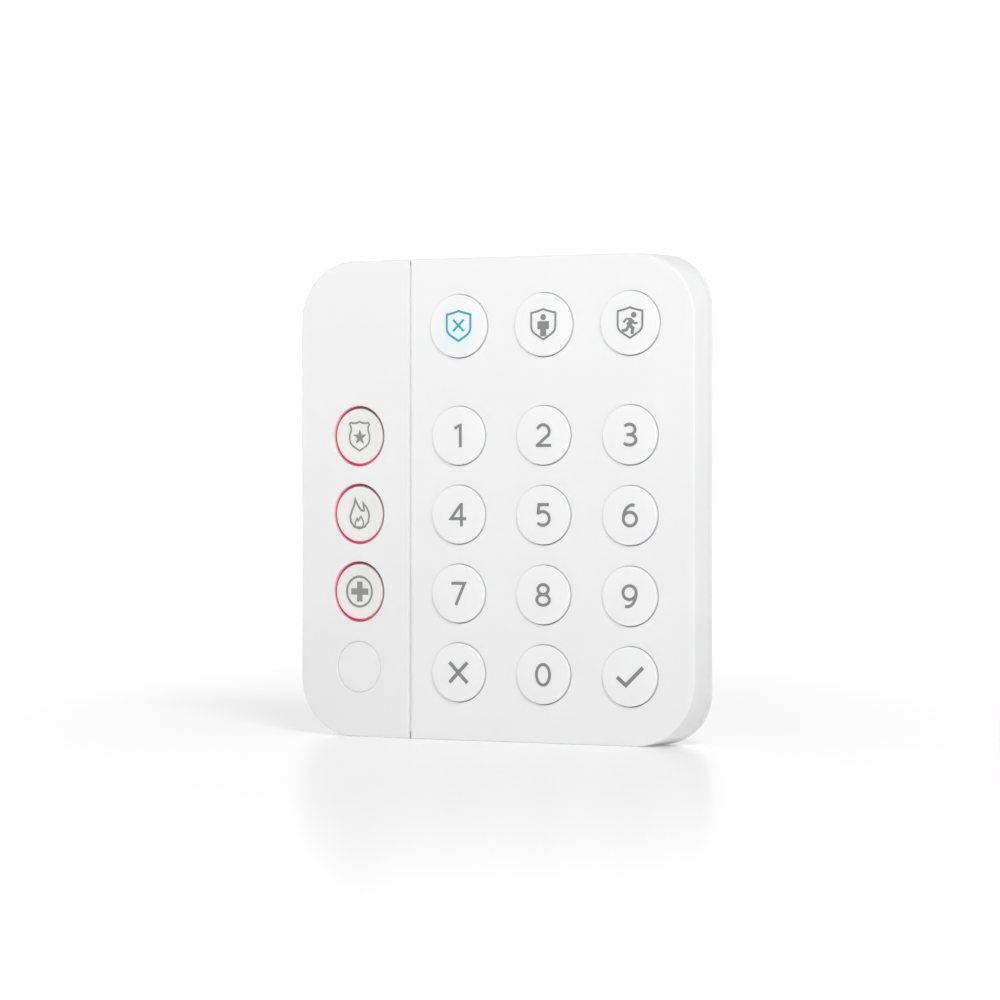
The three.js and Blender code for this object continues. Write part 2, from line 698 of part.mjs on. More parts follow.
const numberCap = keyCap(keyRadius);
const modeCap = keyCap(modeKeyRadius);
for (const { label, x, z } of numberKeys) {
  addMesh(panel, `key_${label}`, numberCap, keyPlastic).position.set(x, 0, z);
}
for (const { label, x, z } of modeKeys) {
  addMesh(panel, `key_${label}`, modeCap, keyPlastic).position.set(x, 0, z);
  addMesh(panel, `led_${label}`, led(x, z - ledDrop), ledWhite);
}
for (const { label, z } of alertButtons) {
  const frame = stripFrame(z);
  addMesh(frame, `button_${label}`, alertCap(), alertPlastic);
  addMesh(frame, `light_collar_${label}`, lightCollar(), redLens);
  addMesh(panel, `led_${label}`, led(alertX + alertFlangeRadius + ledSize.width, z), ledWhite);
}
addMesh(stripFrame(windowZ), 'sensor_window', sensorWindow(), windowPlastic);
addMesh(panel, 'motion_sensor', motionSensor(), chipBlack);
addMesh(panel, 'key_membrane', keyMembrane(), silicone);
addMesh(panel, 'backlight_film', backlightFilm(), clearFilm);
addMesh(panel, 'side_membrane', sideMembrane(), silicone);
addMesh(panel, 'main_board', mainBoard(), boardGreen);
addMesh(panel, 'battery_cell', batteryCell(), foil);
addMesh(panel, 'battery_connector', onBoardBack(rowZ[2], boardParts.batteryConnector), keyPlastic);
addMesh(panel, 'processor_chip', onBoardBack(rowZ[1], boardParts.processor), chipBlack);
addMesh(panel, 'radio_module', onBoardBack(rowZ[0], boardParts.radio), steel);
addMesh(panel, 'antenna', onBoardBack(modeZ, boardParts.antenna), steel);
addMesh(panel, 'speaker', speaker(), speakerBlack);
addMesh(panel, 'speaker_gasket', speakerGasket(), silicone);
addMesh(panel, 'charging_socket', chargingSocket(), steel);
allScrews.forEach((where, i) => addMesh(panel, `case_screw_${i + 1}`, caseScrew(where), steel));
addMesh(panel, 'wall_bracket', wallBracket(), bracketPlastic);

export default panel;
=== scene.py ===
import math

import bmesh
import bpy
from mathutils import Matrix, Vector


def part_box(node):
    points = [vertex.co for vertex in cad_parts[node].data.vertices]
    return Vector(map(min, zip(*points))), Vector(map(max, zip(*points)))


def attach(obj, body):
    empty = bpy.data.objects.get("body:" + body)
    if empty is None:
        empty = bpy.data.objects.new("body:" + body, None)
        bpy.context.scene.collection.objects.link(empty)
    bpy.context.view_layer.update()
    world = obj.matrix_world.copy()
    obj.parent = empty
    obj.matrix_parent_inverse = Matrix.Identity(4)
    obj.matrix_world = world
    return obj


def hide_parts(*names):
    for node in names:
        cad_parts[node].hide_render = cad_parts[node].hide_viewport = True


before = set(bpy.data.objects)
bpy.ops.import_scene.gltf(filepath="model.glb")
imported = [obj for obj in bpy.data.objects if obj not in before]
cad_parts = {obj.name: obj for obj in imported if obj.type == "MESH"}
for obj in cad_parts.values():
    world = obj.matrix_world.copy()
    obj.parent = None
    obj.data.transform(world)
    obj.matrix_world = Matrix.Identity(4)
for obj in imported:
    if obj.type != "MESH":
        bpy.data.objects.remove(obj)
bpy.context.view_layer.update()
scene = bpy.context.scene

# Lengths are millimetres while a piece is made. x runs right, depth runs from the face to the wall, z up.
case = {
    "width": 123.5, "height": 134.5, "facePlane": -7.65,
    "frontCorner": 18.0, "rearCorner": 14.5, "cornerSteps": 24,
    "wall": 1.8, "face": 1.8, "strip": 1.5, "seamDepth": 10.1, "seamGap": 0.16, "rimDepth": 12.8,
    "edge": 0.4, "holeEdge": 0.14, "edgeSteps": 5,
    "dividerX": -25.05, "dividerGap": 0.5, "stripAngle": math.radians(5.45), "alertInset": 17.2,
    "openReach": 8.0, "holeBack": 3.2, "holeFront": -0.6,
}
columns = (-9.55, 16.6, 42.75)
rows = (85.0, 63.0, 41.0, 19.0)
modeHeight = 115.5
windowHeight = 19.7
numberLabels = (("1", "2", "3"), ("4", "5", "6"), ("7", "8", "9"), ("cancel", "0", "enter"))
modeLabels = ("disarm", "home", "away")
alertLabels = ("police", "fire", "medical")
slope = math.tan(case["stripAngle"])
alertX = case["dividerX"] - case["alertInset"]


cameraSettings = {"place": (0.45643, -0.92762, 0.07335), "turn": (89.65, -0.02, 26.23), "lens": 133.16}


def makeCamera(settings):
    data = bpy.data.cameras.new("studioCamera")
    data.lens = settings["lens"]
    data.sensor_width = 36
    camera = bpy.data.objects.new("studioCamera", data)
    camera.location = settings["place"]
    camera.rotation_euler = [math.radians(angle) for angle in settings["turn"]]
    scene.collection.objects.link(camera)
    scene.camera = camera


makeCamera(cameraSettings)
print("camera set")


def newPiece(name, bm):
    bmesh.ops.remove_doubles(bm, verts=bm.verts, dist=1e-4)
    bmesh.ops.recalc_face_normals(bm, faces=bm.faces)
    mesh = bpy.data.meshes.new(name)
    bm.to_mesh(mesh)
    bm.free()
    piece = bpy.data.objects.new(name, mesh)
    scene.collection.objects.link(piece)
    return piece


def discard(piece):
    mesh = piece.data
    bpy.data.objects.remove(piece)
    bpy.data.meshes.remove(mesh)


def settle(piece):  # the modifiers' result becomes the piece's own mesh
    graph = bpy.context.evaluated_depsgraph_get()
    mesh = bpy.data.meshes.new_from_object(piece.evaluated_get(graph), depsgraph=graph)
    old = piece.data
    piece.modifiers.clear()
    piece.data = mesh
    bpy.data.meshes.remove(old)
    mesh.name = piece.name
    return piece


def combine(target, tool, operation="DIFFERENCE"):
    modifier = target.modifiers.new("combine", "BOOLEAN")
    modifier.operation = operation
    modifier.solver = "MANIFOLD"
    modifier.object = tool
    settle(target)
    discard(tool)
    if not target.data.polygons:
        raise RuntimeError(target.name + " came out empty")
    return target


def loftInto(bm, loops):  # a closed shell through loops of the same length
    made = [[bm.verts.new(point) for point in loop] for loop in loops]
    count = len(made[0])
    for near, after in zip(made, made[1:]):
        for i in range(count):
            j = (i + 1) % count
            bm.faces.new((near[i], near[j], after[j], after[i]))
    bm.faces.new(made[0][::-1])
    bm.faces.new(made[-1])


def turnInto(bm, profile, matrix, steps=96):  # profile of (radius, depth), from axis to axis
    rings = []
    for radius, depth in profile:
        count = steps if radius > 1e-6 else 1
        ring = []
        for i in range(count):
            angle = 2 * math.pi * i / steps
            point = Vector((radius * math.cos(angle), depth, radius * math.sin(angle)))
            ring.append(bm.verts.new(matrix @ point))
        rings.append(ring)
    for near, after in zip(rings, rings[1:]):
        for i in range(steps):
            j = (i + 1) % steps
            corners = [near[i % len(near)], near[j % len(near)], after[j % len(after)], after[i % len(after)]]
            unique = list(dict.fromkeys(corners))
            if len(unique) > 2:
                bm.faces.new(unique)


def placed(x, depth, z, tilt=0.0):
    return Matrix.Translation((x, depth, z)) @ Matrix.Rotation(tilt, 4, "Z")


def onStrip(z):  # square to the sloping strip, on its surface
    return placed(alertX, (case["dividerX"] - alertX) * slope, z, -case["stripAngle"])


def roundedLoop(left, bottom, width, height, corner, depth, steps):
    points = []
    for cx, cz, start in ((1, 0, -90), (1, 1, 0), (0, 1, 90), (0, 0, 180)):
        x = left + corner + cx * (width - 2 * corner)
        z = bottom + corner + cz * (height - 2 * corner)
        for i in range(steps + 1):
            angle = math.radians(start + 90 * i / steps)
            points.append((x + corner * math.cos(angle), depth, z + corner * math.sin(angle)))
    return points


def plateInto(bm, rect, corner, front, back, edge=0.0, steps=10):  # rect is (left, bottom, width, height)
    left, bottom, width, height = rect
    stations = [(0.0, front), (0.0, back)]
    if edge:
        turn = [math.radians(90 * i / 4) for i in range(5)]
        stations = [(edge * (1 - math.sin(a)), front + edge * (1 - math.cos(a))) for a in turn]
        stations += [(inset, front + back - depth) for inset, depth in reversed(stations)]
    loftInto(bm, [roundedLoop(left + inset, bottom + inset, width - 2 * inset, height - 2 * inset,
                              max(corner - inset, 0.02), depth, steps) for inset, depth in stations])


def centred(x, z, width, height):
    return (x - width / 2, z - height / 2, width, height)


def shade(piece, limit=26.0):  # smooth curves, crisp corners, and level faces left level
    mesh = piece.data
    mesh.shade_smooth()
    mesh.set_sharp_from_angle(angle=math.radians(limit))
    levels = [Vector((1, 0, 0)), Vector((0, 1, 0)), Vector((0, 0, 1)),
              Vector((math.sin(case["stripAngle"]), math.cos(case["stripAngle"]), 0))]
    for face in mesh.polygons:
        if any(abs(face.normal.dot(level)) > 0.99995 for level in levels):
            face.use_smooth = False


def mount(piece, body, material, nodes=()):  # into metres and the frame, onto its body
    piece.data.transform(Matrix.Translation((0, case["facePlane"] * 0.001, 0)) @ Matrix.Scale(0.001, 4))
    piece.data.materials.clear()
    piece.data.materials.append(material)
    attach(piece, body)
    if nodes:
        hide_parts(*nodes)
    return piece


def newGroup(name, inputs, outputs):
    tree = bpy.data.node_groups.new(name, "ShaderNodeTree")
    for label, kind, value in inputs:
        socket = tree.interface.new_socket(label, in_out="INPUT", socket_type="NodeSocket" + kind)
        socket.default_value = value
    for label, kind in outputs:
        tree.interface.new_socket(label, in_out="OUTPUT", socket_type="NodeSocket" + kind)
    return tree, tree.nodes.new("NodeGroupInput"), tree.nodes.new("NodeGroupOutput")


def addNode(tree, kind, **values):  # a value is a setting, or a socket's default where the key is a number
    node = tree.nodes.new(kind)
    for key, value in values.items():
        if key.startswith("socket"):
            node.inputs[int(key[6:])].default_value = value
        else:
            setattr(node, key, value)
    return node


def inMillimetres(tree):  # Object coordinates, scaled so that one unit is a millimetre
    coordinates = addNode(tree, "ShaderNodeTexCoord")
    scaled = addNode(tree, "ShaderNodeVectorMath", operation="SCALE")
    scaled.inputs["Scale"].default_value = 1000.0
    tree.links.new(coordinates.outputs["Object"], scaled.inputs[0])
    return scaled.outputs[0]


moulding = {"driftScale": 0.035, "driftDetail": 3.0, "driftFrom": 0.32, "driftTo": 0.68, "grainDetail": 2.0,
            "rubScale": 0.22, "rubDetail": 5.0}  # scales are per millimetre


def makeGrainGroup():  # the fine texture that a mould leaves, and the slow drift of tone across a moulding
    tree, source, result = newGroup(
        "mouldedSurface",
        [("Color", "Color", (0.8, 0.8, 0.8, 1)), ("Drift Color", "Color", (0.78, 0.78, 0.78, 1)),
         ("Grain", "Float", 3.0), ("Roughness", "Float", 0.4), ("Roughness Spread", "Float", 0.06)],
        [("Color", "Color"), ("Roughness", "Float"), ("Height", "Float")])
    place = inMillimetres(tree)
    link = tree.links.new
    drift = addNode(tree, "ShaderNodeTexNoise", noise_dimensions="3D")
    drift.inputs["Scale"].default_value = moulding["driftScale"]
    drift.inputs["Detail"].default_value = moulding["driftDetail"]
    link(place, drift.inputs["Vector"])
    ramp = addNode(tree, "ShaderNodeMapRange")
    ramp.inputs["From Min"].default_value = moulding["driftFrom"]
    ramp.inputs["From Max"].default_value = moulding["driftTo"]
    link(drift.outputs["Fac"], ramp.inputs["Value"])
    mix = addNode(tree, "ShaderNodeMix", data_type="RGBA")
    link(ramp.outputs[0], mix.inputs["Factor"])
    link(source.outputs["Color"], mix.inputs[6])
    link(source.outputs["Drift Color"], mix.inputs[7])
    link(mix.outputs[2], result.inputs["Color"])
    grain = addNode(tree, "ShaderNodeTexNoise", noise_dimensions="3D")
    grain.inputs["Detail"].default_value = moulding["grainDetail"]
    link(place, grain.inputs["Vector"])
    link(source.outputs["Grain"], grain.inputs["Scale"])
    link(grain.outputs["Fac"], result.inputs["Height"])
    rub = addNode(tree, "ShaderNodeTexNoise", noise_dimensions="3D")
    rub.inputs["Scale"].default_value = moulding["rubScale"]
    rub.inputs["Detail"].default_value = moulding["rubDetail"]
    link(place, rub.inputs["Vector"])
    centre = addNode(tree, "ShaderNodeMath", operation="SUBTRACT", socket1=0.5)
    link(rub.outputs["Fac"], centre.inputs[0])
    spread = addNode(tree, "ShaderNodeMath", operation="MULTIPLY_ADD")
    link(centre.outputs[0], spread.inputs[0])
    link(source.outputs["Roughness Spread"], spread.inputs[1])
    link(source.outputs["Roughness"], spread.inputs[2])
    link(spread.outputs[0], result.inputs["Roughness"])
    return tree


def makePaintedGlowAndShadeGroup():  # a soft round patch of another colour: painted glow where light spreads under a translucent cap, and painted shade on the red collars
    tree, source, result = newGroup(
        "paintedGlowAndShade",
        [("Color", "Color", (1, 1, 1, 1)), ("Halo Color", "Color", (1, 0, 0, 1)),
         ("Centre", "Vector", (0, 0, 0)), ("Inner", "Float", 0.0), ("Outer", "Float", 1.0),
         ("Strength", "Float", 1.0)],
        [("Color", "Color"), ("Mask", "Float")])
    place = inMillimetres(tree)
    link = tree.links.new
    distance = addNode(tree, "ShaderNodeVectorMath", operation="DISTANCE")
    link(place, distance.inputs[0])
    link(source.outputs["Centre"], distance.inputs[1])
    fade = addNode(tree, "ShaderNodeMapRange", interpolation_type="SMOOTHSTEP")
    link(distance.outputs["Value"], fade.inputs["Value"])
    link(source.outputs["Inner"], fade.inputs["From Min"])
    link(source.outputs["Outer"], fade.inputs["From Max"])
    strength = addNode(tree, "ShaderNodeMath", operation="MULTIPLY")
    link(fade.outputs[0], strength.inputs[0])
    link(source.outputs["Strength"], strength.inputs[1])
    mix = addNode(tree, "ShaderNodeMix", data_type="RGBA")
    link(strength.outputs[0], mix.inputs["Factor"])
    link(source.outputs["Color"], mix.inputs[6])
    link(source.outputs["Halo Color"], mix.inputs[7])
    link(mix.outputs[2], result.inputs["Color"])
    link(strength.outputs[0], result.inputs["Mask"])
    return tree


grainGroup = makeGrainGroup()
paintedGlowAndShadeGroup = makePaintedGlowAndShadeGroup()


def newMaterial(name, settings):  # a shader whose colour, roughness and relief come from mouldedSurface
    material = bpy.data.materials.new(name)
    material.use_nodes = True
    tree = material.node_tree
    shader = tree.nodes["Principled BSDF"]
    surface = addNode(tree, "ShaderNodeGroup", node_tree=grainGroup)
    surface.name = "surface"
    surface.inputs["Color"].default_value = (*settings["color"], 1)
    surface.inputs["Drift Color"].default_value = (*settings["drift"], 1)
    surface.inputs["Grain"].default_value = settings["grain"]
    surface.inputs["Roughness"].default_value = settings["roughness"]
    surface.inputs["Roughness Spread"].default_value = settings.get("spread", 0.06)
    bump = addNode(tree, "ShaderNodeBump")
    bump.name = "relief"
    bump.inputs["Strength"].default_value = settings.get("relief", 0.05)
    bump.inputs["Distance"].default_value = settings.get("reliefDepth", 0.00002)
    tree.links.new(surface.outputs["Color"], shader.inputs["Base Color"])
    tree.links.new(surface.outputs["Roughness"], shader.inputs["Roughness"])
    tree.links.new(surface.outputs["Height"], bump.inputs["Height"])
    tree.links.new(bump.outputs["Normal"], shader.inputs["Normal"])
    for label in ("Metallic", "IOR", "Coat Weight", "Coat Roughness", "Specular IOR Level", "Alpha",
                  "Transmission Weight", "Emission Strength"):
        if label in settings:
            shader.inputs[label].default_value = settings[label]
    if "Subsurface Weight" in settings:
        shader.inputs["Subsurface Weight"].default_value = settings["Subsurface Weight"]
        shader.inputs["Subsurface Radius"].default_value = (1.0, 0.95, 0.9)
        shader.inputs["Subsurface Scale"].default_value = 0.0012
    if "emission" in settings:
        shader.inputs["Emission Color"].default_value = (*settings["emission"], 1)
    return material


finishes = {
    "shell": {"color": (0.90, 0.90, 0.905), "drift": (0.885, 0.885, 0.89), "grain": 3.2, "roughness": 0.46,
              "relief": 0.25, "reliefDepth": 0.000012, "Subsurface Weight": 0.3},
    "cap": {"color": (0.92, 0.92, 0.925), "drift": (0.905, 0.905, 0.911), "grain": 4.5, "roughness": 0.38,
            "relief": 0.15, "reliefDepth": 0.000010, "Subsurface Weight": 0.3},
    "alert": {"color": (0.885, 0.883, 0.855), "drift": (0.87, 0.868, 0.845), "grain": 4.0, "roughness": 0.36,
              "relief": 0.15, "reliefDepth": 0.000010, "Subsurface Weight": 0.3},
    "redLens": {"color": (0.66, 0.013, 0.11), "drift": (0.58, 0.011, 0.095), "grain": 2.0, "roughness": 0.3,
                "Emission Strength": 0.36},
    "window": {"color": (0.90, 0.90, 0.905), "drift": (0.885, 0.885, 0.89), "grain": 5.0, "roughness": 0.34,
               "Subsurface Weight": 0.2},
    "legendGrey": {"color": (0.245, 0.245, 0.247), "drift": (0.225, 0.225, 0.227), "grain": 5.0,
                   "roughness": 0.5},
    "alertGrey": {"color": (0.29, 0.29, 0.28), "drift": (0.27, 0.27, 0.26), "grain": 5.0, "roughness": 0.5},
    "litCyan": {"color": (0.01, 0.34, 0.43), "drift": (0.01, 0.30, 0.39), "grain": 4.0, "roughness": 0.4,
                "emission": (0.01, 0.36, 0.47), "Emission Strength": 0.15},
    "bracket": {"color": (0.80, 0.80, 0.805), "drift": (0.785, 0.785, 0.79), "grain": 2.6, "roughness": 0.55,
                "relief": 0.35, "reliefDepth": 0.00002},
    "silicone": {"color": (0.80, 0.80, 0.77), "drift": (0.76, 0.76, 0.73), "grain": 2.0, "roughness": 0.7},
    "film": {"color": (0.76, 0.82, 0.85), "drift": (0.73, 0.79, 0.83), "grain": 0.6, "roughness": 0.15},
    "solderMask": {"color": (0.02, 0.16, 0.07), "drift": (0.015, 0.12, 0.05), "grain": 1.2, "roughness": 0.35,
                   "Coat Weight": 0.4, "Coat Roughness": 0.2},
    "epoxy": {"color": (0.02, 0.02, 0.022), "drift": (0.028, 0.028, 0.03), "grain": 7.0, "roughness": 0.55,
              "relief": 0.4},
    "foil": {"color": (0.62, 0.64, 0.66), "drift": (0.55, 0.57, 0.60), "grain": 0.35, "roughness": 0.34,
             "spread": 0.3, "relief": 0.5, "reliefDepth": 0.00015, "Metallic": 0.9},
    "tinned": {"color": (0.60, 0.61, 0.63), "drift": (0.52, 0.53, 0.55), "grain": 1.5, "roughness": 0.3,
               "spread": 0.25, "Metallic": 1.0},
    "zinc": {"color": (0.56, 0.56, 0.57), "drift": (0.46, 0.46, 0.48), "grain": 3.0, "roughness": 0.32,
             "spread": 0.3, "Metallic": 1.0},
    "ledLens": {"color": (0.90, 0.87, 0.72), "drift": (0.86, 0.80, 0.55), "grain": 2.0, "roughness": 0.2},
    "cone": {"color": (0.03, 0.03, 0.034), "drift": (0.045, 0.045, 0.05), "grain": 1.4, "roughness": 0.6,
             "relief": 0.4},
}
materials = {name: newMaterial(name, settings) for name, settings in finishes.items()}


def paintedGlowAndShadeMaterial(name, settings, halo, glowing=False):  # painted light and shade: its colour changes in a soft patch round a point, and with glowing the emission too
    material = newMaterial(name, settings)
    tree = material.node_tree
    shader = tree.nodes["Principled BSDF"]
    glow = addNode(tree, "ShaderNodeGroup", node_tree=paintedGlowAndShadeGroup)
    glow.inputs["Halo Color"].default_value = (*halo["color"], 1)
    glow.inputs["Centre"].default_value = halo["centre"]
    glow.inputs["Inner"].default_value = halo["inner"]
    glow.inputs["Outer"].default_value = halo["outer"]
    glow.inputs["Strength"].default_value = halo["strength"]
    tree.links.new(tree.nodes["surface"].outputs["Color"], glow.inputs["Color"])
    tree.links.new(glow.outputs["Color"], shader.inputs["Base Color"])
    if glowing:
        tree.links.new(glow.outputs["Color"], shader.inputs["Emission Color"])
    return material


print("materials made")


def cornerAt(depth):
    share = depth / case["rimDepth"]
    return case["frontCorner"] + (case["rearCorner"] - case["frontCorner"]) * share


def outline(inset, depthAt, left=None, right=None):  # a side given as left or right is cut straight there
    points = []
    steps = case["cornerSteps"]
    for sideX, top, start in ((1, 0, -90), (1, 1, 0), (-1, 1, 90), (-1, 0, 180)):
        cut = right if sideX > 0 else left
        edge = sideX * case["width"] / 2 if cut is None else cut
        for i in range(steps + 1):
            angle = math.radians(start + 90 * i / steps)
            x = edge
            for _ in range(4):
                full = cornerAt(depthAt(x)) if cut is None else max(case["edge"], inset) + 0.02
                x = edge - sideX * full + (full - inset) * math.cos(angle)
            z = (full if not top else case["height"] - full) + (full - inset) * math.sin(angle)
            points.append((x, depthAt(x), z))
    return points


def level(depth):
    return lambda x: depth


def onSlope(depth):
    return lambda x: (case["dividerX"] - x) * slope + depth


def edgeTurn(radius, steps):  # (inset, depth) from the face round to the side
    turn = [math.radians(90 * i / steps) for i in range(steps + 1)]
    return [(radius * (1 - math.sin(a)), radius * (1 - math.cos(a))) for a in turn]


def holeCutter(radius, edge):  # a round hole with a softened mouth
    turn = [math.radians(90 * i / 4) for i in range(5)]
    mouth = [(radius + edge * (1 - math.sin(a)), edge * (1 - math.cos(a)) - 0.004) for a in turn]
    return [(0, case["holeFront"]), (radius + edge, case["holeFront"]), *mouth, (radius, case["holeBack"]),
            (0, case["holeBack"])]


keyHole = {"number": 8.34, "mode": 8.94, "alert": 8.6, "window": 7.22, "windowEdge": 0.4, "alertEdge": 0.22,
           "shift": (0.06, -0.05)}  # the caps sit a little up and left in their holes
boss = {"foot": 3.0, "post": 2.4, "pilot": 1.2, "footBack": 6.0, "postBack": 10.7}
screwPlaces = []
for index in range(1, 7):
    low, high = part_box("case_screw_%d" % index)
    screwPlaces.append(((low.x + high.x) * 500, (low.z + high.z) * 500))


def addBosses(cover, places, footFront):
    for x, z in places:
        post = bmesh.new()
        start = footFront(x)
        turnInto(post, [(0, start), (boss["foot"], start), (boss["foot"], boss["footBack"]),
                        (boss["post"], boss["footBack"]), (boss["post"], boss["postBack"]),
                        (boss["pilot"], boss["postBack"]), (boss["pilot"], boss["footBack"] - 1),
                        (0, boss["footBack"] - 1)], placed(x, 0, z), 32)
        combine(cover, newPiece("post", post), "UNION")
    return cover


def makeKeyCover():
    end = case["seamDepth"] - case["seamGap"] / 2
    left = case["dividerX"] + case["dividerGap"] / 2
    bm = bmesh.new()
    edge = edgeTurn(case["edge"], case["edgeSteps"])
    loops = [outline(inset, level(depth), left=left) for inset, depth in edge]
    loftInto(bm, loops + [outline(0, level(end), left=left)])
    cover = newPiece("key_cover_shell", bm)
    bm = bmesh.new()
    loftInto(bm, [outline(case["wall"], level(case["face"])), outline(case["wall"], level(end + 1))])
    combine(cover, newPiece("hollow", bm))
    bm = bmesh.new()
    right, up = keyHole["shift"]
    for x in columns:
        for z in rows:
            turnInto(bm, holeCutter(keyHole["number"], case["holeEdge"]), placed(x + right, 0, z + up))
        turnInto(bm, holeCutter(keyHole["mode"], case["holeEdge"]), placed(x + right, 0, modeHeight + up))
    combine(cover, newPiece("holes", bm))
    addBosses(cover, [p for p in screwPlaces if p[0] > case["dividerX"]], lambda x: case["face"] / 2)
    shade(cover)
    return mount(cover, "panel", materials["shell"], ["key_cover"])


dividerBars = {  # left of the divider, bottom, width, height, corner, front and back
    "root": (-2.5, 1.0, 2.25, 132.5, 0.2, 0.75, 3.2),
    "shelf": (-2.5, 2.0, 5.0, 130.5, 0.2, 2.0, 3.2),
    "rib": (-0.6, 2.0, 0.66, 130.5, 0.1, 0.7, 2.6),
}


def makeSideCover():
    end = case["seamDepth"] - case["seamGap"] / 2
    right = case["dividerX"] - case["dividerGap"] / 2
    bm = bmesh.new()
    edge = edgeTurn(case["edge"], case["edgeSteps"])
    loops = [outline(inset, onSlope(depth), right=right) for inset, depth in edge]
    loftInto(bm, loops + [outline(0, level(end), right=right)])
    cover = newPiece("side_cover_shell", bm)
    bm = bmesh.new()
    inside = case["strip"] / math.cos(case["stripAngle"])
    openSide = right + case["openReach"]
    loftInto(bm, [outline(case["wall"], onSlope(inside), right=openSide),
                  outline(case["wall"], level(end + 1), right=openSide)])
    combine(cover, newPiece("hollow", bm))
    for name, (left, bottom, width, height, corner, front, back) in dividerBars.items():
        bm = bmesh.new()
        plateInto(bm, (case["dividerX"] + left, bottom, width, height), corner, front, back, steps=2)
        combine(cover, newPiece(name, bm), "UNION")
    bm = bmesh.new()
    for z in rows[:3]:
        turnInto(bm, holeCutter(keyHole["alert"], keyHole["alertEdge"]), onStrip(z))
    turnInto(bm, holeCutter(keyHole["window"], keyHole["windowEdge"]), onStrip(windowHeight))
    combine(cover, newPiece("holes", bm))
    places = [p for p in screwPlaces if p[0] < case["dividerX"]]
    addBosses(cover, places, onSlope(case["strip"] / 2))
    shade(cover)
    return mount(cover, "panel", materials["shell"], ["side_cover"])


makeKeyCover()
makeSideCover()
print("front covers made")


rear = {
    "floorFront": 10.9, "lipInset": 2.0, "lipWall": 1.0, "lipFront": 8.9,
    "studX": 30.0, "studZ": 116.5, "stud": 1.6, "studHead": 3.2, "headFront": 15.0, "headBack": 16.0,
    "clawInner": 44.3, "clawLeg": 2.0, "clawToe": 2.4, "clawBottom": 46.0, "clawHeight": 7.0,
    "speakerX": 37.75, "speakerZ": 21.0, "slotPitch": 2.6, "slotHeight": 1.0, "slotReach": 8.8,
    "socketX": 3.525, "socketZ": 7.6, "recess": (13.0, 8.6, 1.5), "recessWall": 1.1,
    "recessFront": 7.9, "recessFloor": 8.5, "socket": (7.6, 3.0), "mouthCorner": 1.2,
    "screwHead": 2.5, "screwPocket": 11.7, "screwBore": 1.3, "boreFront": 9.0, "screwMouth": 0.2,
    "edge": 0.5, "join": 11.85, "headEdge": 0.3, "slotFront": 9.9, "slots": range(-2, 3),
}


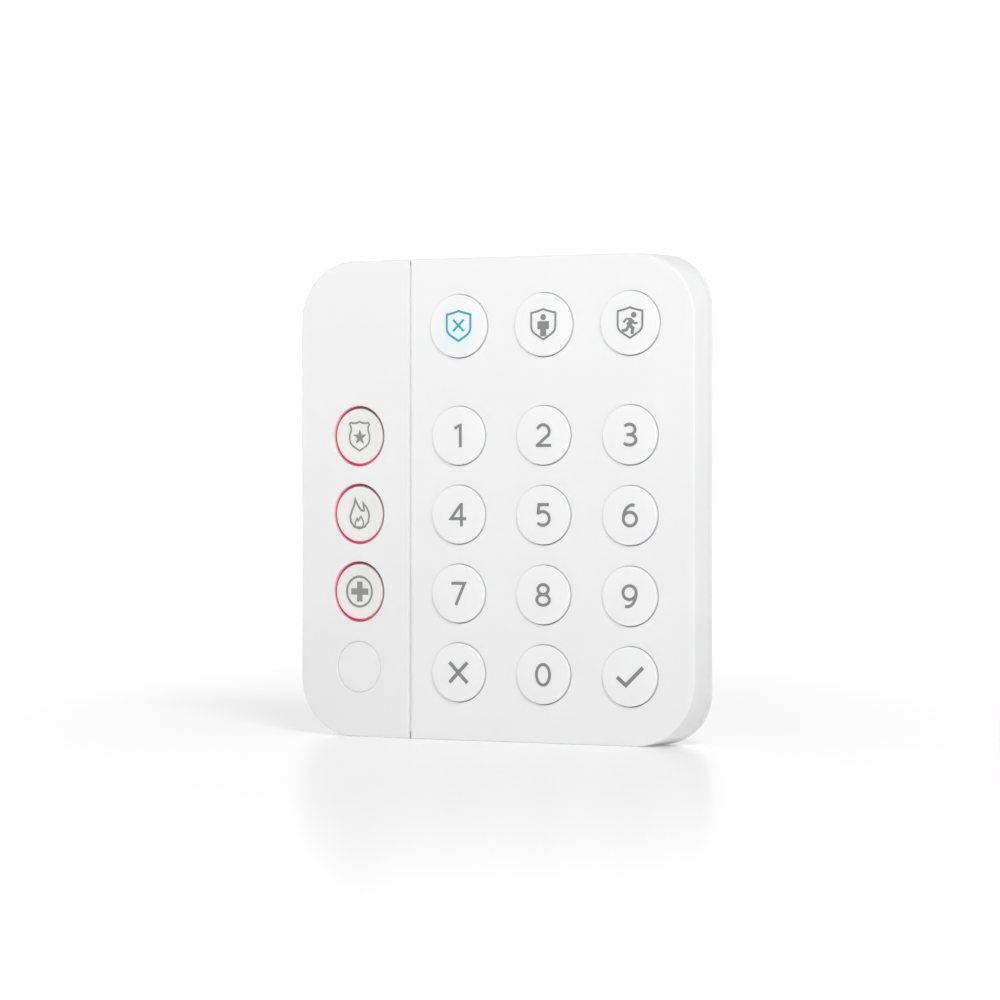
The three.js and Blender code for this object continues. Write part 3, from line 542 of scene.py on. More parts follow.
def makeBackCover():
    start = case["seamDepth"] + case["seamGap"] / 2
    rim = case["rimDepth"]
    bm = bmesh.new()
    loops = [outline(0, level(start))]
    edge = reversed(edgeTurn(rear["edge"], case["edgeSteps"]))
    loops += [outline(inset, level(rim - depth)) for inset, depth in edge]
    loftInto(bm, loops)
    cover = newPiece("back_cover_shell", bm)
    bm = bmesh.new()
    loftInto(bm, [outline(rear["lipInset"], level(depth)) for depth in (rear["lipFront"], rear["join"])])
    combine(cover, newPiece("lip", bm), "UNION")
    bm = bmesh.new()
    inner = rear["lipInset"] + rear["lipWall"]
    loftInto(bm, [outline(inner, level(rear["lipFront"] - 1)), outline(inner, level(rear["floorFront"]))])
    combine(cover, newPiece("hollow", bm))
    bm = bmesh.new()
    for x, z in screwPlaces:
        wide = rear["screwHead"] + rear["screwMouth"]
        turnInto(bm, [(0, rear["boreFront"]), (rear["screwBore"], rear["boreFront"]),
                      (rear["screwBore"], rear["screwPocket"]), (rear["screwHead"], rear["screwPocket"]),
                      (rear["screwHead"], rim - rear["screwMouth"]), (wide, rim + 0.01), (wide, rim + 1),
                      (0, rim + 1)], placed(x, 0, z), 48)
    combine(cover, newPiece("screwHoles", bm))
    for side in (-1, 1):
        bm = bmesh.new()
        wide, soft = rear["studHead"], rear["headEdge"]
        head = [(wide - soft, rear["headFront"]), (wide, rear["headFront"] + soft),
                (wide, rear["headBack"] - soft), (wide - soft, rear["headBack"])]
        turnInto(bm, [(0, rear["join"]), (rear["stud"], rear["join"]), (rear["stud"], rear["headFront"]), *head,
                      (0, rear["headBack"])], placed(side * rear["studX"], 0, rear["studZ"]), 48)
        combine(cover, newPiece("stud", bm), "UNION")
        inner = side * rear["clawInner"]
        outer = inner + side * rear["clawLeg"]
        toe = inner - side * rear["clawToe"]
        bm = bmesh.new()
        plateInto(bm, (min(inner, outer), rear["clawBottom"], rear["clawLeg"], rear["clawHeight"]),
                  rear["edge"], rear["join"], rear["headBack"], steps=4)
        combine(cover, newPiece("leg", bm), "UNION")
        bm = bmesh.new()
        plateInto(bm, (min(toe, outer), rear["clawBottom"], abs(outer - toe), rear["clawHeight"]),
                  rear["edge"], rear["headFront"], rear["headBack"], 0.2, 4)
        combine(cover, newPiece("toe", bm), "UNION")
    bm = bmesh.new()
    for i in rear["slots"]:
        half = math.sqrt(rear["slotReach"] ** 2 - (i * rear["slotPitch"]) ** 2) - rear["slotHeight"] / 2
        rect = centred(rear["speakerX"], rear["speakerZ"] + i * rear["slotPitch"], 2 * half, rear["slotHeight"])
        plateInto(bm, rect, rear["slotHeight"] / 2 - 0.01, rear["slotFront"], rim + 1, steps=6)
    combine(cover, newPiece("slots", bm))
    width, height, corner = rear["recess"]
    border = rear["recessWall"]
    bm = bmesh.new()
    rect = centred(rear["socketX"], rear["socketZ"], width + 2 * border, height + 2 * border)
    plateInto(bm, rect, corner + border, rear["recessFront"], rim - 0.1)
    combine(cover, newPiece("pocket", bm), "UNION")
    bm = bmesh.new()
    rect = centred(rear["socketX"], rear["socketZ"], width, height)
    plateInto(bm, rect, corner, rear["recessFloor"], rim + 1)
    combine(cover, newPiece("recess", bm))
    width, height = rear["socket"]
    bm = bmesh.new()
    rect = centred(rear["socketX"], rear["socketZ"], width + 0.4, height + 0.4)
    plateInto(bm, rect, rear["mouthCorner"], 7, 9)
    combine(cover, newPiece("mouth", bm))
    shade(cover)
    return mount(cover, "panel", materials["shell"], ["back_cover"])


def addInput(tree, label, kind, value=None):
    socket = tree.interface.new_socket(label, in_out="INPUT", socket_type="NodeSocket" + kind)
    if value is not None:
        socket.default_value = value
    return socket


def setInputs(modifier, values):  # by each socket's identifier
    for item in modifier.node_group.interface.items_tree:
        if item.item_type == "SOCKET" and item.in_out == "INPUT" and item.name in values:
            modifier[item.identifier] = values[item.name]


def evaluated(piece, tree, values):
    modifier = piece.modifiers.new(tree.name, "NODES")
    modifier.node_group = tree
    setInputs(modifier, values)
    return settle(piece)


def makeProfileStrips(tree, corners):  # straight strips through (radius socket or number, depth socket)
    link = tree.links.new
    points = []
    for radius, depth in corners:
        point = addNode(tree, "ShaderNodeCombineXYZ")
        for socket, value in zip(point.inputs, (radius, depth)):
            if isinstance(value, (int, float)):
                socket.default_value = value
            else:
                link(value, socket)
        points.append(point.outputs[0])
    strips = []
    for start, end in zip(points, points[1:]):
        line = addNode(tree, "GeometryNodeCurvePrimitiveLine")
        link(start, line.inputs["Start"])
        link(end, line.inputs["End"])
        strips.append(line.outputs["Curve"])
    return strips


def arithmetic(tree, operation, first, second):
    node = addNode(tree, "ShaderNodeMath", operation=operation)
    for socket, value in zip(node.inputs, (first, second)):
        if isinstance(value, (int, float)):
            socket.default_value = value
        else:
            tree.links.new(value, socket)
    return node.outputs[0]


def spin(tree, strips, steps):  # turns profile strips about the axis; their x is a radius and y a depth
    link = tree.links.new
    join = addNode(tree, "GeometryNodeJoinGeometry")
    for strip in strips:
        link(strip, join.inputs[0])
    shift = addNode(tree, "GeometryNodeTransform")
    shift.inputs["Translation"].default_value = (-1, 0, 0)
    link(join.outputs[0], shift.inputs["Geometry"])
    circle = addNode(tree, "GeometryNodeCurvePrimitiveCircle")
    circle.inputs["Radius"].default_value = 1.0
    link(steps, circle.inputs["Resolution"])
    sweep = addNode(tree, "GeometryNodeCurveToMesh")
    link(circle.outputs["Curve"], sweep.inputs["Curve"])
    link(shift.outputs["Geometry"], sweep.inputs["Profile Curve"])
    weld = addNode(tree, "GeometryNodeMergeByDistance")
    weld.inputs["Distance"].default_value = 0.001
    link(sweep.outputs["Mesh"], weld.inputs["Geometry"])
    return weld.outputs["Geometry"]


def finishTree(tree, geometry, source, result):
    link = tree.links.new
    real = addNode(tree, "GeometryNodeRealizeInstances")
    paint = addNode(tree, "GeometryNodeSetMaterial")
    link(geometry, real.inputs[0])
    link(real.outputs[0], paint.inputs["Geometry"])
    link(source.outputs["Finish"], paint.inputs["Material"])
    link(paint.outputs["Geometry"], result.inputs["Geometry"])


def newTree(name, inputs):
    tree = bpy.data.node_groups.new(name, "GeometryNodeTree")
    addInput(tree, "Geometry", "Geometry")
    for label, kind, value in inputs:
        addInput(tree, label, kind, value)
    addInput(tree, "Finish", "Material")
    tree.interface.new_socket("Geometry", in_out="OUTPUT", socket_type="NodeSocketGeometry")
    return tree, tree.nodes.new("NodeGroupInput"), tree.nodes.new("NodeGroupOutput")


def makeScrewTree():  # a domed head with a cross recess on a plain shank, one at each point
    tree, source, result = newTree("domedScrews", [
        ("Head Radius", "Float", 2.3), ("Head Height", "Float", 0.9), ("Shank Radius", "Float", 1.05),
        ("Length", "Float", 5.0), ("Cross Length", "Float", 2.6), ("Cross Width", "Float", 0.6),
        ("Cross Depth", "Float", 0.6), ("Steps", "Int", 40)])
    link = tree.links.new
    out = source.outputs
    dome = addNode(tree, "GeometryNodeCurvePrimitiveLine")
    dome.inputs["End"].default_value = (1, 0, 0)
    finer = addNode(tree, "GeometryNodeResampleCurve")
    finer.inputs["Count"].default_value = 8
    link(dome.outputs[0], finer.inputs["Curve"])
    position = addNode(tree, "GeometryNodeInputPosition")
    split = addNode(tree, "ShaderNodeSeparateXYZ")
    link(position.outputs[0], split.inputs[0])
    away = split.outputs["X"]
    drop = arithmetic(tree, "MULTIPLY", arithmetic(tree, "MULTIPLY", away, away),
                      arithmetic(tree, "MULTIPLY", out["Head Height"], -0.45))
    bent = addNode(tree, "ShaderNodeCombineXYZ")
    link(arithmetic(tree, "MULTIPLY", away, out["Head Radius"]), bent.inputs["X"])
    link(drop, bent.inputs["Y"])
    place = addNode(tree, "GeometryNodeSetPosition")
    link(finer.outputs[0], place.inputs["Geometry"])
    link(bent.outputs[0], place.inputs["Position"])
    edge = arithmetic(tree, "MULTIPLY", out["Head Height"], -0.45)
    front = arithmetic(tree, "MULTIPLY", out["Head Height"], -1.0)
    tip = arithmetic(tree, "SUBTRACT", front, out["Length"])
    strips = makeProfileStrips(tree, [
        (out["Head Radius"], edge), (out["Head Radius"], front), (out["Shank Radius"], front),
        (out["Shank Radius"], tip), (0.0, tip)])
    body = spin(tree, [place.outputs[0], *strips], out["Steps"])
    carve = addNode(tree, "GeometryNodeMeshBoolean", operation="DIFFERENCE", solver="MANIFOLD")
    link(body, carve.inputs["Mesh 1"])
    for long, wide in ((out["Cross Length"], out["Cross Width"]), (out["Cross Width"], out["Cross Length"])):
        size = addNode(tree, "ShaderNodeCombineXYZ")
        link(long, size.inputs["X"])
        link(wide, size.inputs["Y"])
        link(arithmetic(tree, "MULTIPLY", out["Cross Depth"], 2.0), size.inputs["Z"])
        bar = addNode(tree, "GeometryNodeMeshCube")
        link(size.outputs[0], bar.inputs["Size"])
        link(bar.outputs["Mesh"], carve.inputs["Mesh 2"])
    spread = addNode(tree, "GeometryNodeInstanceOnPoints")
    spread.inputs["Rotation"].default_value = (math.radians(90), 0, 0)
    link(out["Geometry"], spread.inputs["Points"])
    link(carve.outputs["Mesh"], spread.inputs["Instance"])
    finishTree(tree, spread.outputs[0], source, result)
    return tree


def pointsPiece(name, places):
    mesh = bpy.data.meshes.new(name)
    mesh.from_pydata(places, [], [])
    piece = bpy.data.objects.new(name, mesh)
    scene.collection.objects.link(piece)
    return piece


def outward(piece):  # welds a made mesh and turns its faces out
    bm = bmesh.new()
    bm.from_mesh(piece.data)
    bmesh.ops.remove_doubles(bm, verts=bm.verts, dist=1e-3)
    bmesh.ops.recalc_face_normals(bm, faces=bm.faces)
    bm.to_mesh(piece.data)
    bm.free()
    return piece


caseScrew = {"headBack": 12.7, "Head Radius": 2.25, "Head Height": 0.9, "Length": 4.9,
             "Finish": materials["zinc"]}


def makeScrews(settings):
    piece = pointsPiece("case_screws", [(x, settings["headBack"], z) for x, z in screwPlaces])
    outward(evaluated(piece, makeScrewTree(), settings))
    shade(piece, 35)
    nodes = ["case_screw_%d" % index for index in range(1, 7)]
    return mount(piece, "panel", materials["zinc"], nodes)


wall = {
    "front": 13.1, "plate": 1.6, "plane": 16.6, "width": 88.0, "bottom": 34.0, "top": 122.0, "corner": 8.0,
    "middle": 78.0, "screwReach": 35.0, "boss": 5.0, "hole": 2.2, "sink": 1.4, "pad": (24.0, 18.0),
    "slotHalf": 1.9, "slotRise": 14.0, "notchDepth": 2.7, "notchBottom": 54.7, "notchHeight": 7.6,
    "notchCorner": 0.6, "tab": (18.0, 5.0), "tabCorner": 1.2, "padCorner": 1.5, "edge": 0.3, "soft": 0.25,
    "root": 0.8,  # how far the pad and pillars start inside the plate
}


def makeBracket():
    front, back = wall["front"], wall["front"] + wall["plate"]
    half = wall["width"] / 2
    bm = bmesh.new()
    plateInto(bm, (-half, wall["bottom"], wall["width"], wall["top"] - wall["bottom"]), wall["corner"],
              front, back, wall["edge"], 16)
    bracket = newPiece("wall_bracket_plate", bm)
    bm = bmesh.new()
    width, drop = wall["tab"]
    plateInto(bm, (-width / 2, wall["bottom"] - drop, width, 2 * drop), wall["tabCorner"], front, back,
              wall["edge"], 6)
    combine(bracket, newPiece("tab", bm), "UNION")
    bm = bmesh.new()
    width, height = wall["pad"]
    root, plane, soft = front + wall["root"], wall["plane"], wall["soft"]
    plateInto(bm, centred(0, wall["middle"], width, height), wall["padCorner"], root, plane, soft, 6)
    combine(bracket, newPiece("pad", bm), "UNION")
    reach = wall["screwReach"]
    for x, z in ((-reach, 0), (reach, 0), (0, -reach), (0, reach)):
        here = placed(x, 0, wall["middle"] + z)
        bm = bmesh.new()
        turnInto(bm, [(0, root), (wall["boss"], root), (wall["boss"], plane - soft),
                      (wall["boss"] - soft, plane), (0, plane)], here, 48)
        combine(bracket, newPiece("pillar", bm), "UNION")
        bm = bmesh.new()
        mouth = wall["hole"] + wall["sink"] + 0.05
        turnInto(bm, [(0, front - 1), (mouth, front - 1), (mouth, front - 0.01),
                      (wall["hole"], front + wall["sink"]), (wall["hole"], plane + 1),
                      (0, plane + 1)], here, 48)
        combine(bracket, newPiece("screwHole", bm))
    bm = bmesh.new()
    for side in (-1, 1):
        x = side * rear["studX"]
        slot = wall["slotHalf"]
        plateInto(bm, (x - slot, rear["studZ"] - slot, 2 * slot, wall["slotRise"]), slot - 0.02,
                  front - 1, back + 1, steps=10)
        left = -half - 1 if side < 0 else half - wall["notchDepth"]
        plateInto(bm, (left, wall["notchBottom"], wall["notchDepth"] + 1, wall["notchHeight"]),
                  wall["notchCorner"], front - 1, back + 1, steps=4)
    combine(bracket, newPiece("slots", bm))
    shade(bracket)
    return mount(bracket, "wall_bracket", materials["bracket"], ["wall_bracket"])


makeBackCover()
makeScrews(caseScrew)
makeBracket()
print("back cover, screws and bracket made")


def makeCapTree():  # a turned cap: a domed or dished top, a rounded edge, a wall, a flange and a plunger
    tree, source, result = newTree("turnedCap", [
        ("Radius", "Float", 8.15), ("Middle Depth", "Float", -1.3), ("Edge Depth", "Float", -0.5),
        ("Rounding", "Float", 0.35), ("Flange Radius", "Float", 9.35), ("Flange Front", "Float", 2.0),
        ("Flange Back", "Float", 2.8), ("Plunger Radius", "Float", 2.5), ("Plunger Tip", "Float", 4.3),
        ("Rings", "Int", 20), ("Steps", "Int", 96)])
    link = tree.links.new
    out = source.outputs
    flat = arithmetic(tree, "SUBTRACT", out["Radius"], out["Rounding"])
    line = addNode(tree, "GeometryNodeCurvePrimitiveLine")
    line.inputs["End"].default_value = (1, 0, 0)
    finer = addNode(tree, "GeometryNodeResampleCurve")
    link(line.outputs[0], finer.inputs["Curve"])
    link(out["Rings"], finer.inputs["Count"])
    position = addNode(tree, "GeometryNodeInputPosition")
    split = addNode(tree, "ShaderNodeSeparateXYZ")
    link(position.outputs[0], split.inputs[0])
    away = split.outputs["X"]
    fall = arithmetic(tree, "SUBTRACT", out["Edge Depth"], out["Middle Depth"])
    depth = arithmetic(tree, "ADD", out["Middle Depth"],
                       arithmetic(tree, "MULTIPLY", fall, arithmetic(tree, "MULTIPLY", away, away)))
    bent = addNode(tree, "ShaderNodeCombineXYZ")
    link(arithmetic(tree, "MULTIPLY", away, flat), bent.inputs["X"])
    link(depth, bent.inputs["Y"])
    dome = addNode(tree, "GeometryNodeSetPosition")
    link(finer.outputs[0], dome.inputs["Geometry"])
    link(bent.outputs[0], dome.inputs["Position"])
    arc = addNode(tree, "GeometryNodeCurveArc")
    arc.inputs["Resolution"].default_value = 7
    arc.inputs["Start Angle"].default_value = math.radians(-90)
    arc.inputs["Sweep Angle"].default_value = math.radians(90)
    link(out["Rounding"], arc.inputs["Radius"])
    wallTop = arithmetic(tree, "ADD", out["Edge Depth"], out["Rounding"])
    centre = addNode(tree, "ShaderNodeCombineXYZ")
    link(flat, centre.inputs["X"])
    link(wallTop, centre.inputs["Y"])
    moved = addNode(tree, "GeometryNodeTransform")
    link(arc.outputs["Curve"], moved.inputs["Geometry"])
    link(centre.outputs[0], moved.inputs["Translation"])
    strips = makeProfileStrips(tree, [
        (out["Radius"], wallTop), (out["Radius"], out["Flange Front"]),
        (out["Flange Radius"], out["Flange Front"]), (out["Flange Radius"], out["Flange Back"]),
        (out["Plunger Radius"], out["Flange Back"]),
        (out["Plunger Radius"], out["Plunger Tip"]), (0.0, out["Plunger Tip"])])
    body = spin(tree, [dome.outputs[0], moved.outputs["Geometry"], *strips], out["Steps"])
    finishTree(tree, body, source, result)
    return tree


numberCap = {"Radius": 8.15, "Middle Depth": -1.3, "Edge Depth": -0.8, "Rounding": 0.35, "Flange Radius": 9.35,
             "Flange Front": 2.0, "Flange Back": 2.8, "Plunger Radius": 2.5, "Plunger Tip": 4.4}
modeCap = dict(numberCap, Radius=8.75)
modeCap["Flange Radius"] = 9.95
alertCap = {"Radius": 7.75, "Middle Depth": 1.0, "Edge Depth": 0.35, "Rounding": 0.2, "Flange Radius": 9.05,
            "Flange Front": 1.65, "Flange Back": 2.15, "Plunger Radius": 2.5, "Plunger Tip": 3.2}
capTree = makeCapTree()
standUp = Matrix.Rotation(math.radians(90), 4, "X")  # the tree's axis onto the depth axis


def makeCap(node, settings, matrix, material):
    piece = pointsPiece(node + "_cap", [])
    values = dict(settings, Finish=material)
    outward(evaluated(piece, capTree, values))
    piece.data.transform(matrix @ standUp)
    outward(piece)
    shade(piece, 30)
    return mount(piece, node, material, [node])


keyPlaces = {}
for labels, z in zip(numberLabels, rows):
    for label, x in zip(labels, columns):
        keyPlaces[label] = (x, z, numberCap)
for label, x in zip(modeLabels, columns):
    keyPlaces[label] = (x, modeHeight, modeCap)

# painted light: a soft cyan glow in the disarm cap's colour, a little below its middle, where the key's light
# spreads under the cap
litKeyPaintedGlow = {"color": (0.68, 0.93, 0.98), "centre": (columns[0] - 0.6, -8.8, modeHeight - 2.0), "inner": 8.0,
          "outer": 1.0, "strength": 0.5}
materials["litCap"] = paintedGlowAndShadeMaterial("litCap", finishes["cap"], litKeyPaintedGlow)
for label, (x, z, settings) in keyPlaces.items():
    material = materials["litCap"] if label == "disarm" else materials["cap"]
    makeCap("key_" + label, settings, placed(x, 0, z), material)

# painted light: a faint pink glow round each button cap's edge, stronger towards the lower left, from the red
# collar next to it
alertPaintedGlow = {"color": (0.90, 0.55, 0.57), "inner": 6.9, "outer": 8.3, "strength": 0.14,
             "offset": (0.9, 0.6, 0.8)}
surfaceDepth = (case["dividerX"] - alertX) * slope + case["facePlane"]


def haloAt(settings, z):  # centred near a button on the strip
    x, depth, up = settings["offset"]
    return dict(settings, centre=(alertX + x, surfaceDepth + depth, z + up))


for label, z in zip(alertLabels, rows):
    material = paintedGlowAndShadeMaterial("alertCap_" + label, finishes["alert"], haloAt(alertPaintedGlow, z))
    makeCap("button_" + label, alertCap, onStrip(z), material)
print("keys and buttons made")


collar = {"inner": 8.0, "outer": 8.45, "front": 0.9, "back": 1.5, "round": 0.1}
# painted shade: the collar's colour and glow turn almost black towards the upper right, where the hole's wall
# hides it
collarPaintedShade = {"color": (0.05, 0.004, 0.012), "inner": 14.0, "outer": 3.5, "strength": 0.92,
               "offset": (6.5, 1.0, 5.5)}
windowDisc = {"radius": 7.2, "front": 0.1, "chamfer": 0.4, "flange": 7.8, "flangeFront": 1.65,
              "flangeBack": 2.15}


def makeCollar(label, z):  # red light guide, with painted shade darkening its colour and glow towards the upper right
    bm = bmesh.new()
    middle = (collar["inner"] + collar["outer"]) / 2
    profile = [(collar["inner"], collar["back"]), (collar["inner"], collar["front"] + collar["round"]),
               (collar["inner"] + collar["round"], collar["front"]), (middle, collar["front"] - 0.03),
               (collar["outer"] - collar["round"], collar["front"]),
               (collar["outer"], collar["front"] + collar["round"]), (collar["outer"], collar["back"]),
               (collar["inner"], collar["back"])]
    turnInto(bm, profile, onStrip(z), 128)
    piece = newPiece("light_collar_ring_" + label, bm)
    shade(piece, 50)
    material = paintedGlowAndShadeMaterial("redLens_" + label, finishes["redLens"], haloAt(collarPaintedShade, z), glowing=True)
    return mount(piece, "panel", material, ["light_collar_" + label])


def makeWindow():
    bm = bmesh.new()
    turn = [math.radians(90 * i / 5) for i in range(6)]
    cut = windowDisc["chamfer"]
    edge = [(windowDisc["radius"] - cut * (1 - math.sin(a)), windowDisc["front"] + cut * (1 - math.cos(a)))
            for a in turn]
    turnInto(bm, [(0, windowDisc["front"]), *edge, (windowDisc["radius"], windowDisc["flangeFront"]),
                  (windowDisc["flange"], windowDisc["flangeFront"]),
                  (windowDisc["flange"], windowDisc["flangeBack"]), (0, windowDisc["flangeBack"])],
             onStrip(windowHeight), 128)
    piece = newPiece("sensor_window_disc", bm)
    shade(piece, 30)
    return mount(piece, "panel", materials["window"], ["sensor_window"])


for label, z in zip(alertLabels, rows):
    makeCollar(label, z)
makeWindow()
print("collars and window made")


# Legends are strokes laid on each cap as thin ribbons.
def arc(cx, cz, rx, rz, start, end):
    steps = max(6, round(abs(end - start) / 8))
    angles = [math.radians(start + (end - start) * i / steps) for i in range(steps + 1)]
    return [(cx + rx * math.cos(a), cz + rz * math.sin(a)) for a in angles]


def mirrored(points):  # closes a half outline, from its top to its bottom, about the middle line
    return points + [(-x, z) for x, z in reversed(points) if abs(x) > 1e-6]


def star(cx, cz, outer, inner, tips=5):
    points = []
    for i in range(2 * tips):
        reach = outer if i % 2 == 0 else inner
        angle = math.radians(90 + 180 * i / tips)
        points.append((cx + reach * math.cos(angle), cz + reach * math.sin(angle)))
    return points


def box(cx, cz, width, height):
    return [(cx - width / 2, cz - height / 2), (cx + width / 2, cz - height / 2),
            (cx + width / 2, cz + height / 2), (cx - width / 2, cz + height / 2)]


shieldHalf = [(0, 4.17), (1.2, 3.78), (2.5, 3.42), (3.67, 3.2), (3.67, -0.7), (3.45, -1.6), (2.85, -2.35),
              (1.6, -3.2), (0, -4.17)]
badgeHalf = [(0, 4.15), (0.8, 3.8), (2.0, 3.65), (2.95, 3.85), (3.35, 3.4), (2.9, 2.6), (2.85, 1.6), (3.3, 0.5),
             (3.42, -0.8), (3.05, -1.95), (2.2, -2.85), (1.0, -3.55), (0, -4.1)]
flame = [(-1.45, 4.15), (-1.0, 3.1), (-0.3, 1.95), (0.45, 1.0), (1.45, 0.95), (1.2, 3.0), (2.3, 1.85),
         (3.0, 0.6), (3.2, -0.6), (2.9, -2.3), (1.8, -3.6), (0, -4.15), (-1.8, -3.6), (-2.9, -2.3),
         (-3.2, -0.7), (-2.6, 1.0), (-1.9, 2.3)]
innerFlame = [(-1.5, -3.7), (-1.5, -2.5), (-0.9, -1.3), (-0.55, -2.0), (0.35, -0.7), (1.1, -1.9), (1.3, -2.9),
              (1.05, -3.8)]
ring = arc(0, 0, 1, 1, 0, 360)[:-1]


def circle(cx, cz, rx, rz):
    return [(cx + rx * x, cz + rz * z) for x, z in ring]


# Each stroke is (points, width, closed); a width of nothing is a filled shape.
glyphs = {
    "0": [(circle(0, 0, 2.0, 2.85), 0.85, True)],
    "1": [([(0.6, 3.27), (0.6, -3.27)], 0.85, False), ([(-1.2, 1.95), (0.5, 2.92)], 0.8, False)],
    "2": [(arc(0, 1.0, 1.85, 1.85, 160, -32) + [(-1.7, -2.7)], 0.85, False),
          ([(-2.2, -2.85), (2.35, -2.85)], 0.85, False)],
    "3": [(arc(-0.15, 1.42, 1.72, 1.43, 145, -90) + [(-0.95, -0.01)], 0.85, False),
          ([(-0.95, 0.01)] + arc(-0.15, -1.42, 1.98, 1.43, 90, -145), 0.85, False)],
    "4": [([(0.85, 2.9), (-2.3, -1.15), (2.4, -1.15)], 0.85, False),
          ([(0.95, 3.27), (0.95, -3.27)], 0.85, False)],
    "5": [([(1.75, 2.85), (-1.3, 2.85), (-1.55, 0.15)], 0.85, False),
          (arc(-0.1, -0.95, 1.98, 1.9, 142, -142), 0.85, False)],
    "6": [(circle(0.05, -0.98, 1.97, 1.87), 0.85, True), (arc(0.75, -0.98, 2.67, 3.83, 76, 180), 0.85, False)],
    "7": [([(-2.2, 2.85), (1.9, 2.85), (-0.8, -3.27)], 0.85, False)],
    "8": [(circle(0, 1.48, 1.58, 1.37), 0.85, True), (circle(0, -1.37, 1.92, 1.48), 0.85, True)],
    "9": [(circle(-0.05, 0.98, 1.97, 1.87), 0.85, True), (arc(-0.75, 0.98, 2.67, 3.83, 256, 360), 0.85, False)],
    "cancel": [([(-2.78, -2.82), (2.78, 2.82)], 1.0, False), ([(-2.78, 2.82), (2.78, -2.82)], 1.0, False)],
    "enter": [([(-3.8, -0.1), (-1.15, -2.3), (3.85, 2.6)], 1.05, False)],
    "disarm": [(mirrored(shieldHalf), 0.6, True), ([(-1.65, -1.45), (1.65, 1.75)], 0.6, False),
               ([(-1.65, 1.75), (1.65, -1.45)], 0.6, False)],
    "home": [(mirrored(shieldHalf), 0.55, True), (circle(0, 1.95, 0.85, 0.85), 0, True),
             (box(0, -0.25, 3.5, 2.2), 0, True), (box(0, -2.1, 1.8, 2.4), 0, True)],
    "away": [(mirrored(shieldHalf), 0.55, True), (circle(1.15, 2.1, 0.8, 0.8), 0, True),
             ([(0.75, 0.95), (-0.45, -0.85)], 1.5, False), ([(0.6, 1.0), (-1.1, 1.0), (-1.9, 0.0)], 0.6, False),
             ([(0.6, 0.7), (1.3, -0.2), (2.3, -0.1)], 0.6, False),
             ([(-0.3, -0.7), (0.9, -1.5), (0.6, -3.1)], 0.95, False),
             ([(-0.4, -0.8), (-1.0, -2.0), (-2.4, -2.2)], 0.8, False)],
    "police": [(mirrored(badgeHalf), 0.5, True), (star(0, -0.3, 2.4, 0.95), 0, True)],
    "fire": [(flame, 0.6, True), (innerFlame, 0.45, True)],
    "medical": [(circle(0, 0, 4.22, 4.22), 0.65, True), (box(0, 0, 5.8, 1.8), 0, True),
                (box(0, 0, 1.8, 5.7), 0, True)],
}
ribbon = {"proud": 0.03, "sunk": 0.08, "cell": 0.7, "keyShift": 0.4, "alertShift": -0.25}


def strokeInto(bm, points, width, closed):  # a flat bar along the points, mitred where it turns
    count = len(points)
    sides = []
    for i, (x, z) in enumerate(points):
        before = points[i - 1] if closed or i else points[0]
        after = points[(i + 1) % count] if closed or i < count - 1 else points[-1]
        comes = Vector((x - before[0], z - before[1]))
        goes = Vector((after[0] - x, after[1] - z))
        comes = (comes if comes.length > 1e-9 else goes).normalized()
        goes = (goes if goes.length > 1e-9 else comes).normalized()
        across = Vector((-(comes.y + goes.y), comes.x + goes.x)).normalized()
        reach = width / 2 / max(0.35, across.dot(Vector((-comes.y, comes.x))))
        sides.append(((x + across.x * reach, z + across.y * reach),
                      (x - across.x * reach, z - across.y * reach)))
    rings = []
    for one, other in sides:
        rings.append([bm.verts.new((*p, h)) for p, h in ((one, 1), (other, 1), (other, -1), (one, -1))])
    for i in range(count if closed else count - 1):
        near, after = rings[i], rings[(i + 1) % count]
        for k in range(4):
            j = (k + 1) % 4
            bm.faces.new((near[k], near[j], after[j], after[k]))
    if not closed:
        bm.faces.new(rings[0][::-1])
        bm.faces.new(rings[-1])


def fillInto(bm, points):
    upper = [bm.verts.new((x, z, 1)) for x, z in points]
    lower = [bm.verts.new((x, z, -1)) for x, z in points]
    bm.faces.new(upper)
    bm.faces.new(lower[::-1])
    for i in range(len(points)):
        j = (i + 1) % len(points)
        bm.faces.new((upper[i], lower[i], lower[j], upper[j]))


def glyphSolid(name, strokes):
    whole = None
    for points, width, closed in strokes:
        bm = bmesh.new()
        if width:
            strokeInto(bm, points, width, closed)
        else:
            fillInto(bm, points)
        piece = newPiece(name, bm)
        whole = piece if whole is None else combine(whole, piece, "UNION")
    return whole


def layOn(piece, settings, matrix, shift=0.0):  # cuts the legend fine and lays it on a cap's curved top
    bm = bmesh.new()
    bm.from_mesh(piece.data)
    steps = math.ceil(5 / ribbon["cell"])
    for axis in (Vector((1, 0, 0)), Vector((0, 1, 0))):
        for i in range(-steps, steps + 1):
            bmesh.ops.bisect_plane(bm, geom=bm.verts[:] + bm.edges[:] + bm.faces[:], dist=1e-5,
                                   plane_co=axis * (i * ribbon["cell"] + 0.013), plane_no=axis)
    bmesh.ops.triangulate(bm, faces=bm.faces)
    flat = settings["Radius"] - settings["Rounding"]
    fall = settings["Edge Depth"] - settings["Middle Depth"]
    for vert in bm.verts:
        x, z = vert.co.x + shift, vert.co.y
        depth = settings["Middle Depth"] + fall * (x * x + z * z) / flat ** 2
        depth += -ribbon["proud"] if vert.co.z > 0 else ribbon["sunk"]
        vert.co = matrix @ Vector((x, depth, z))
    bmesh.ops.recalc_face_normals(bm, faces=bm.faces)
    bm.to_mesh(piece.data)
    bm.free()
    shade(piece, 40)


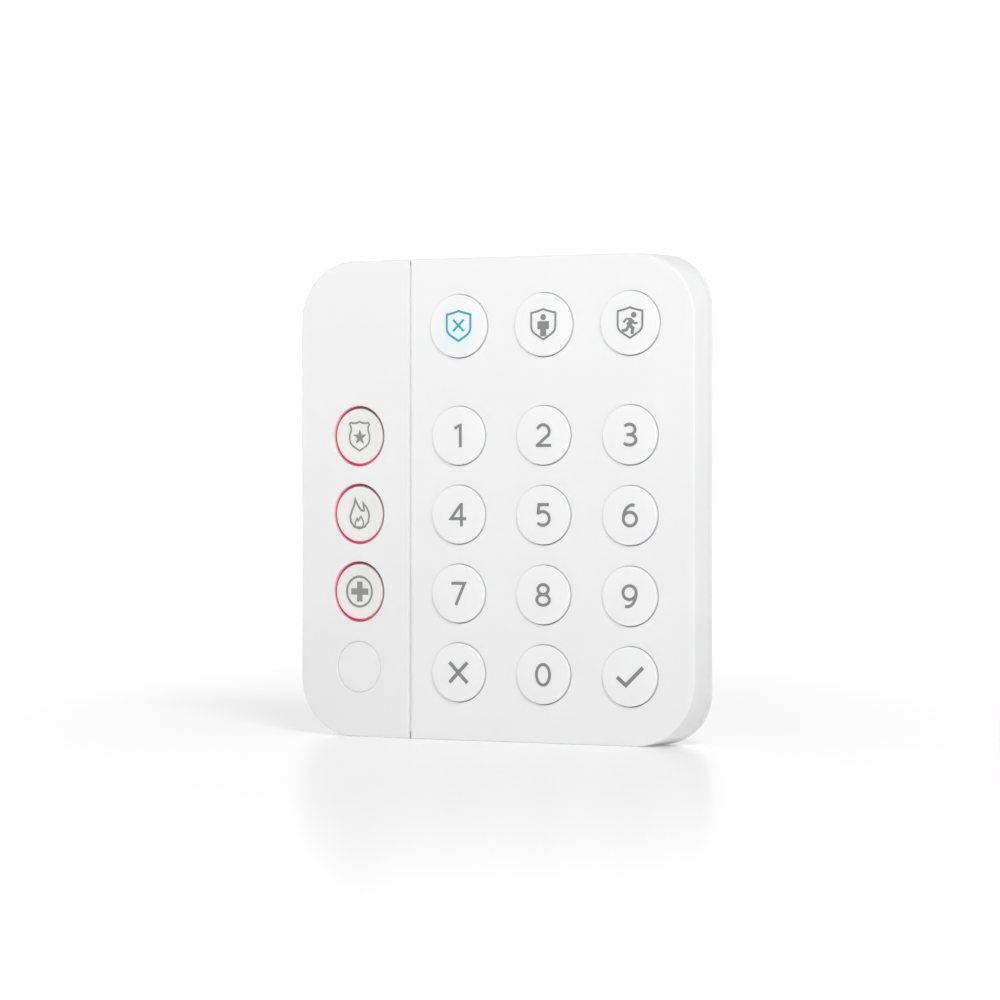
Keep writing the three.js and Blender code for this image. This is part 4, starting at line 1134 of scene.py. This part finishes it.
for label, (x, z, settings) in keyPlaces.items():
    legend = glyphSolid("legend_" + label, glyphs[label])
    layOn(legend, settings, placed(x, 0, z), ribbon["keyShift"])
    finish, slot = ("litCyan", "lit_legend") if label == "disarm" else ("legendGrey", "legend_ink")
    mount(legend, "key_" + label, materials[finish])
for label, z in zip(alertLabels, rows):
    legend = glyphSolid("legend_" + label, glyphs[label])
    layOn(legend, alertCap, onStrip(z), ribbon["alertShift"])
    mount(legend, "button_" + label, materials["alertGrey"])
print("legends laid")


# The pieces inside keep their shapes and get their own finishes.
inside = {
    "key_membrane": "silicone", "side_membrane": "silicone", "speaker_gasket": "silicone",
    "backlight_film": "film", "main_board": "solderMask", "processor_chip": "epoxy", "motion_sensor": "epoxy",
    "battery_cell": "foil", "battery_connector": "cap", "radio_module": "tinned", "antenna": "tinned",
    "charging_socket": "tinned", "speaker": "cone",
    **{"led_" + label: "ledLens" for label in modeLabels + alertLabels},
}
for node, finish in inside.items():
    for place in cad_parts[node].material_slots:
        place.material = materials[finish]
print("inside pieces painted")


studio = {"floor": 8.0, "floorTone": 0.93, "floorRoughness": 0.24, "aim": (0, 0, 0.067),
          # painted light on the floor: its emission near the panel and far away, and the distances over which
          # it grows
          "floorPaintedLight": (0.10, 0.6), "floorPaintedLightReach": (0.06, 0.45), "ovalLength": 2.6,
          "world": 0.38, "backdrop": 1.06,
          "key": {"place": (0.71, -0.85, 0.92), "size": 0.4, "power": 8.5},
          "fill": {"place": (-1.0, -0.9, 0.3), "size": 0.6, "power": 1.3},
          "top": {"place": (0.7, 0.5, 1.4), "size": 1.2, "power": 1.6}}


def addLight(name, settings):
    data = bpy.data.lights.new(name, "AREA")
    data.shape = "DISK"
    data.size = settings["size"]
    data.energy = settings["power"]
    light = bpy.data.objects.new(name, data)
    light.location = settings["place"]
    light.rotation_euler = (Vector(studio["aim"]) - light.location).to_track_quat("-Z", "Y").to_euler()
    scene.collection.objects.link(light)


def makeWorld():  # even light all round, and a white backdrop where it is seen or mirrored
    world = bpy.data.worlds.new("studioWorld")
    world.use_nodes = True
    tree = world.node_tree
    path = addNode(tree, "ShaderNodeLightPath")
    seen = addNode(tree, "ShaderNodeMath", operation="MAXIMUM")
    level = addNode(tree, "ShaderNodeMapRange")
    level.inputs["To Min"].default_value = studio["world"]
    level.inputs["To Max"].default_value = studio["backdrop"]
    tree.links.new(path.outputs["Is Camera Ray"], seen.inputs[0])
    tree.links.new(path.outputs["Is Glossy Ray"], seen.inputs[1])
    tree.links.new(seen.outputs[0], level.inputs["Value"])
    tree.nodes["Background"].inputs["Color"].default_value = (1, 1, 1, 1)
    tree.links.new(level.outputs[0], tree.nodes["Background"].inputs["Strength"])
    scene.world = world


def makeFloor():  # white, a little glossy, with painted light: its emission brightens it to the backdrop's white away from the panel and leaves it darker near the panel
    bm = bmesh.new()
    half = studio["floor"]
    corners = ((-half, -half, 0), (half, -half, 0), (half, half, 0), (-half, half, 0))
    bm.faces.new([bm.verts.new(point) for point in corners])
    floor = newPiece("floor", bm)
    material = bpy.data.materials.new("floorPaint")
    material.use_nodes = True
    tree = material.node_tree
    shader = tree.nodes["Principled BSDF"]
    shader.inputs["Base Color"].default_value = (*[studio["floorTone"]] * 3, 1)
    shader.inputs["Roughness"].default_value = studio["floorRoughness"]
    coordinates = addNode(tree, "ShaderNodeTexCoord")
    oval = addNode(tree, "ShaderNodeMapping", vector_type="TEXTURE")  # long towards the camera
    oval.inputs["Rotation"].default_value = (0, 0, math.radians(cameraSettings["turn"][2]))
    oval.inputs["Scale"].default_value = (1, studio["ovalLength"], 1)
    away = addNode(tree, "ShaderNodeVectorMath", operation="LENGTH")
    # painted light: emission that grows with distance from the panel, in an oval long towards the camera
    lift = addNode(tree, "ShaderNodeMapRange", interpolation_type="SMOOTHSTEP")
    lift.inputs["From Min"].default_value, lift.inputs["From Max"].default_value = studio["floorPaintedLightReach"]
    lift.inputs["To Min"].default_value, lift.inputs["To Max"].default_value = studio["floorPaintedLight"]
    tree.links.new(coordinates.outputs["Object"], oval.inputs["Vector"])
    tree.links.new(oval.outputs["Vector"], away.inputs[0])
    tree.links.new(away.outputs["Value"], lift.inputs["Value"])
    tree.links.new(lift.outputs[0], shader.inputs["Emission Color"])
    shader.inputs["Emission Strength"].default_value = 1.0
    floor.data.materials.append(material)


makeWorld()
makeFloor()
addLight("keyLight", studio["key"])
addLight("fillLight", studio["fill"])
addLight("topLight", studio["top"])
scene.view_settings.view_transform = "Standard"
print("studio made")
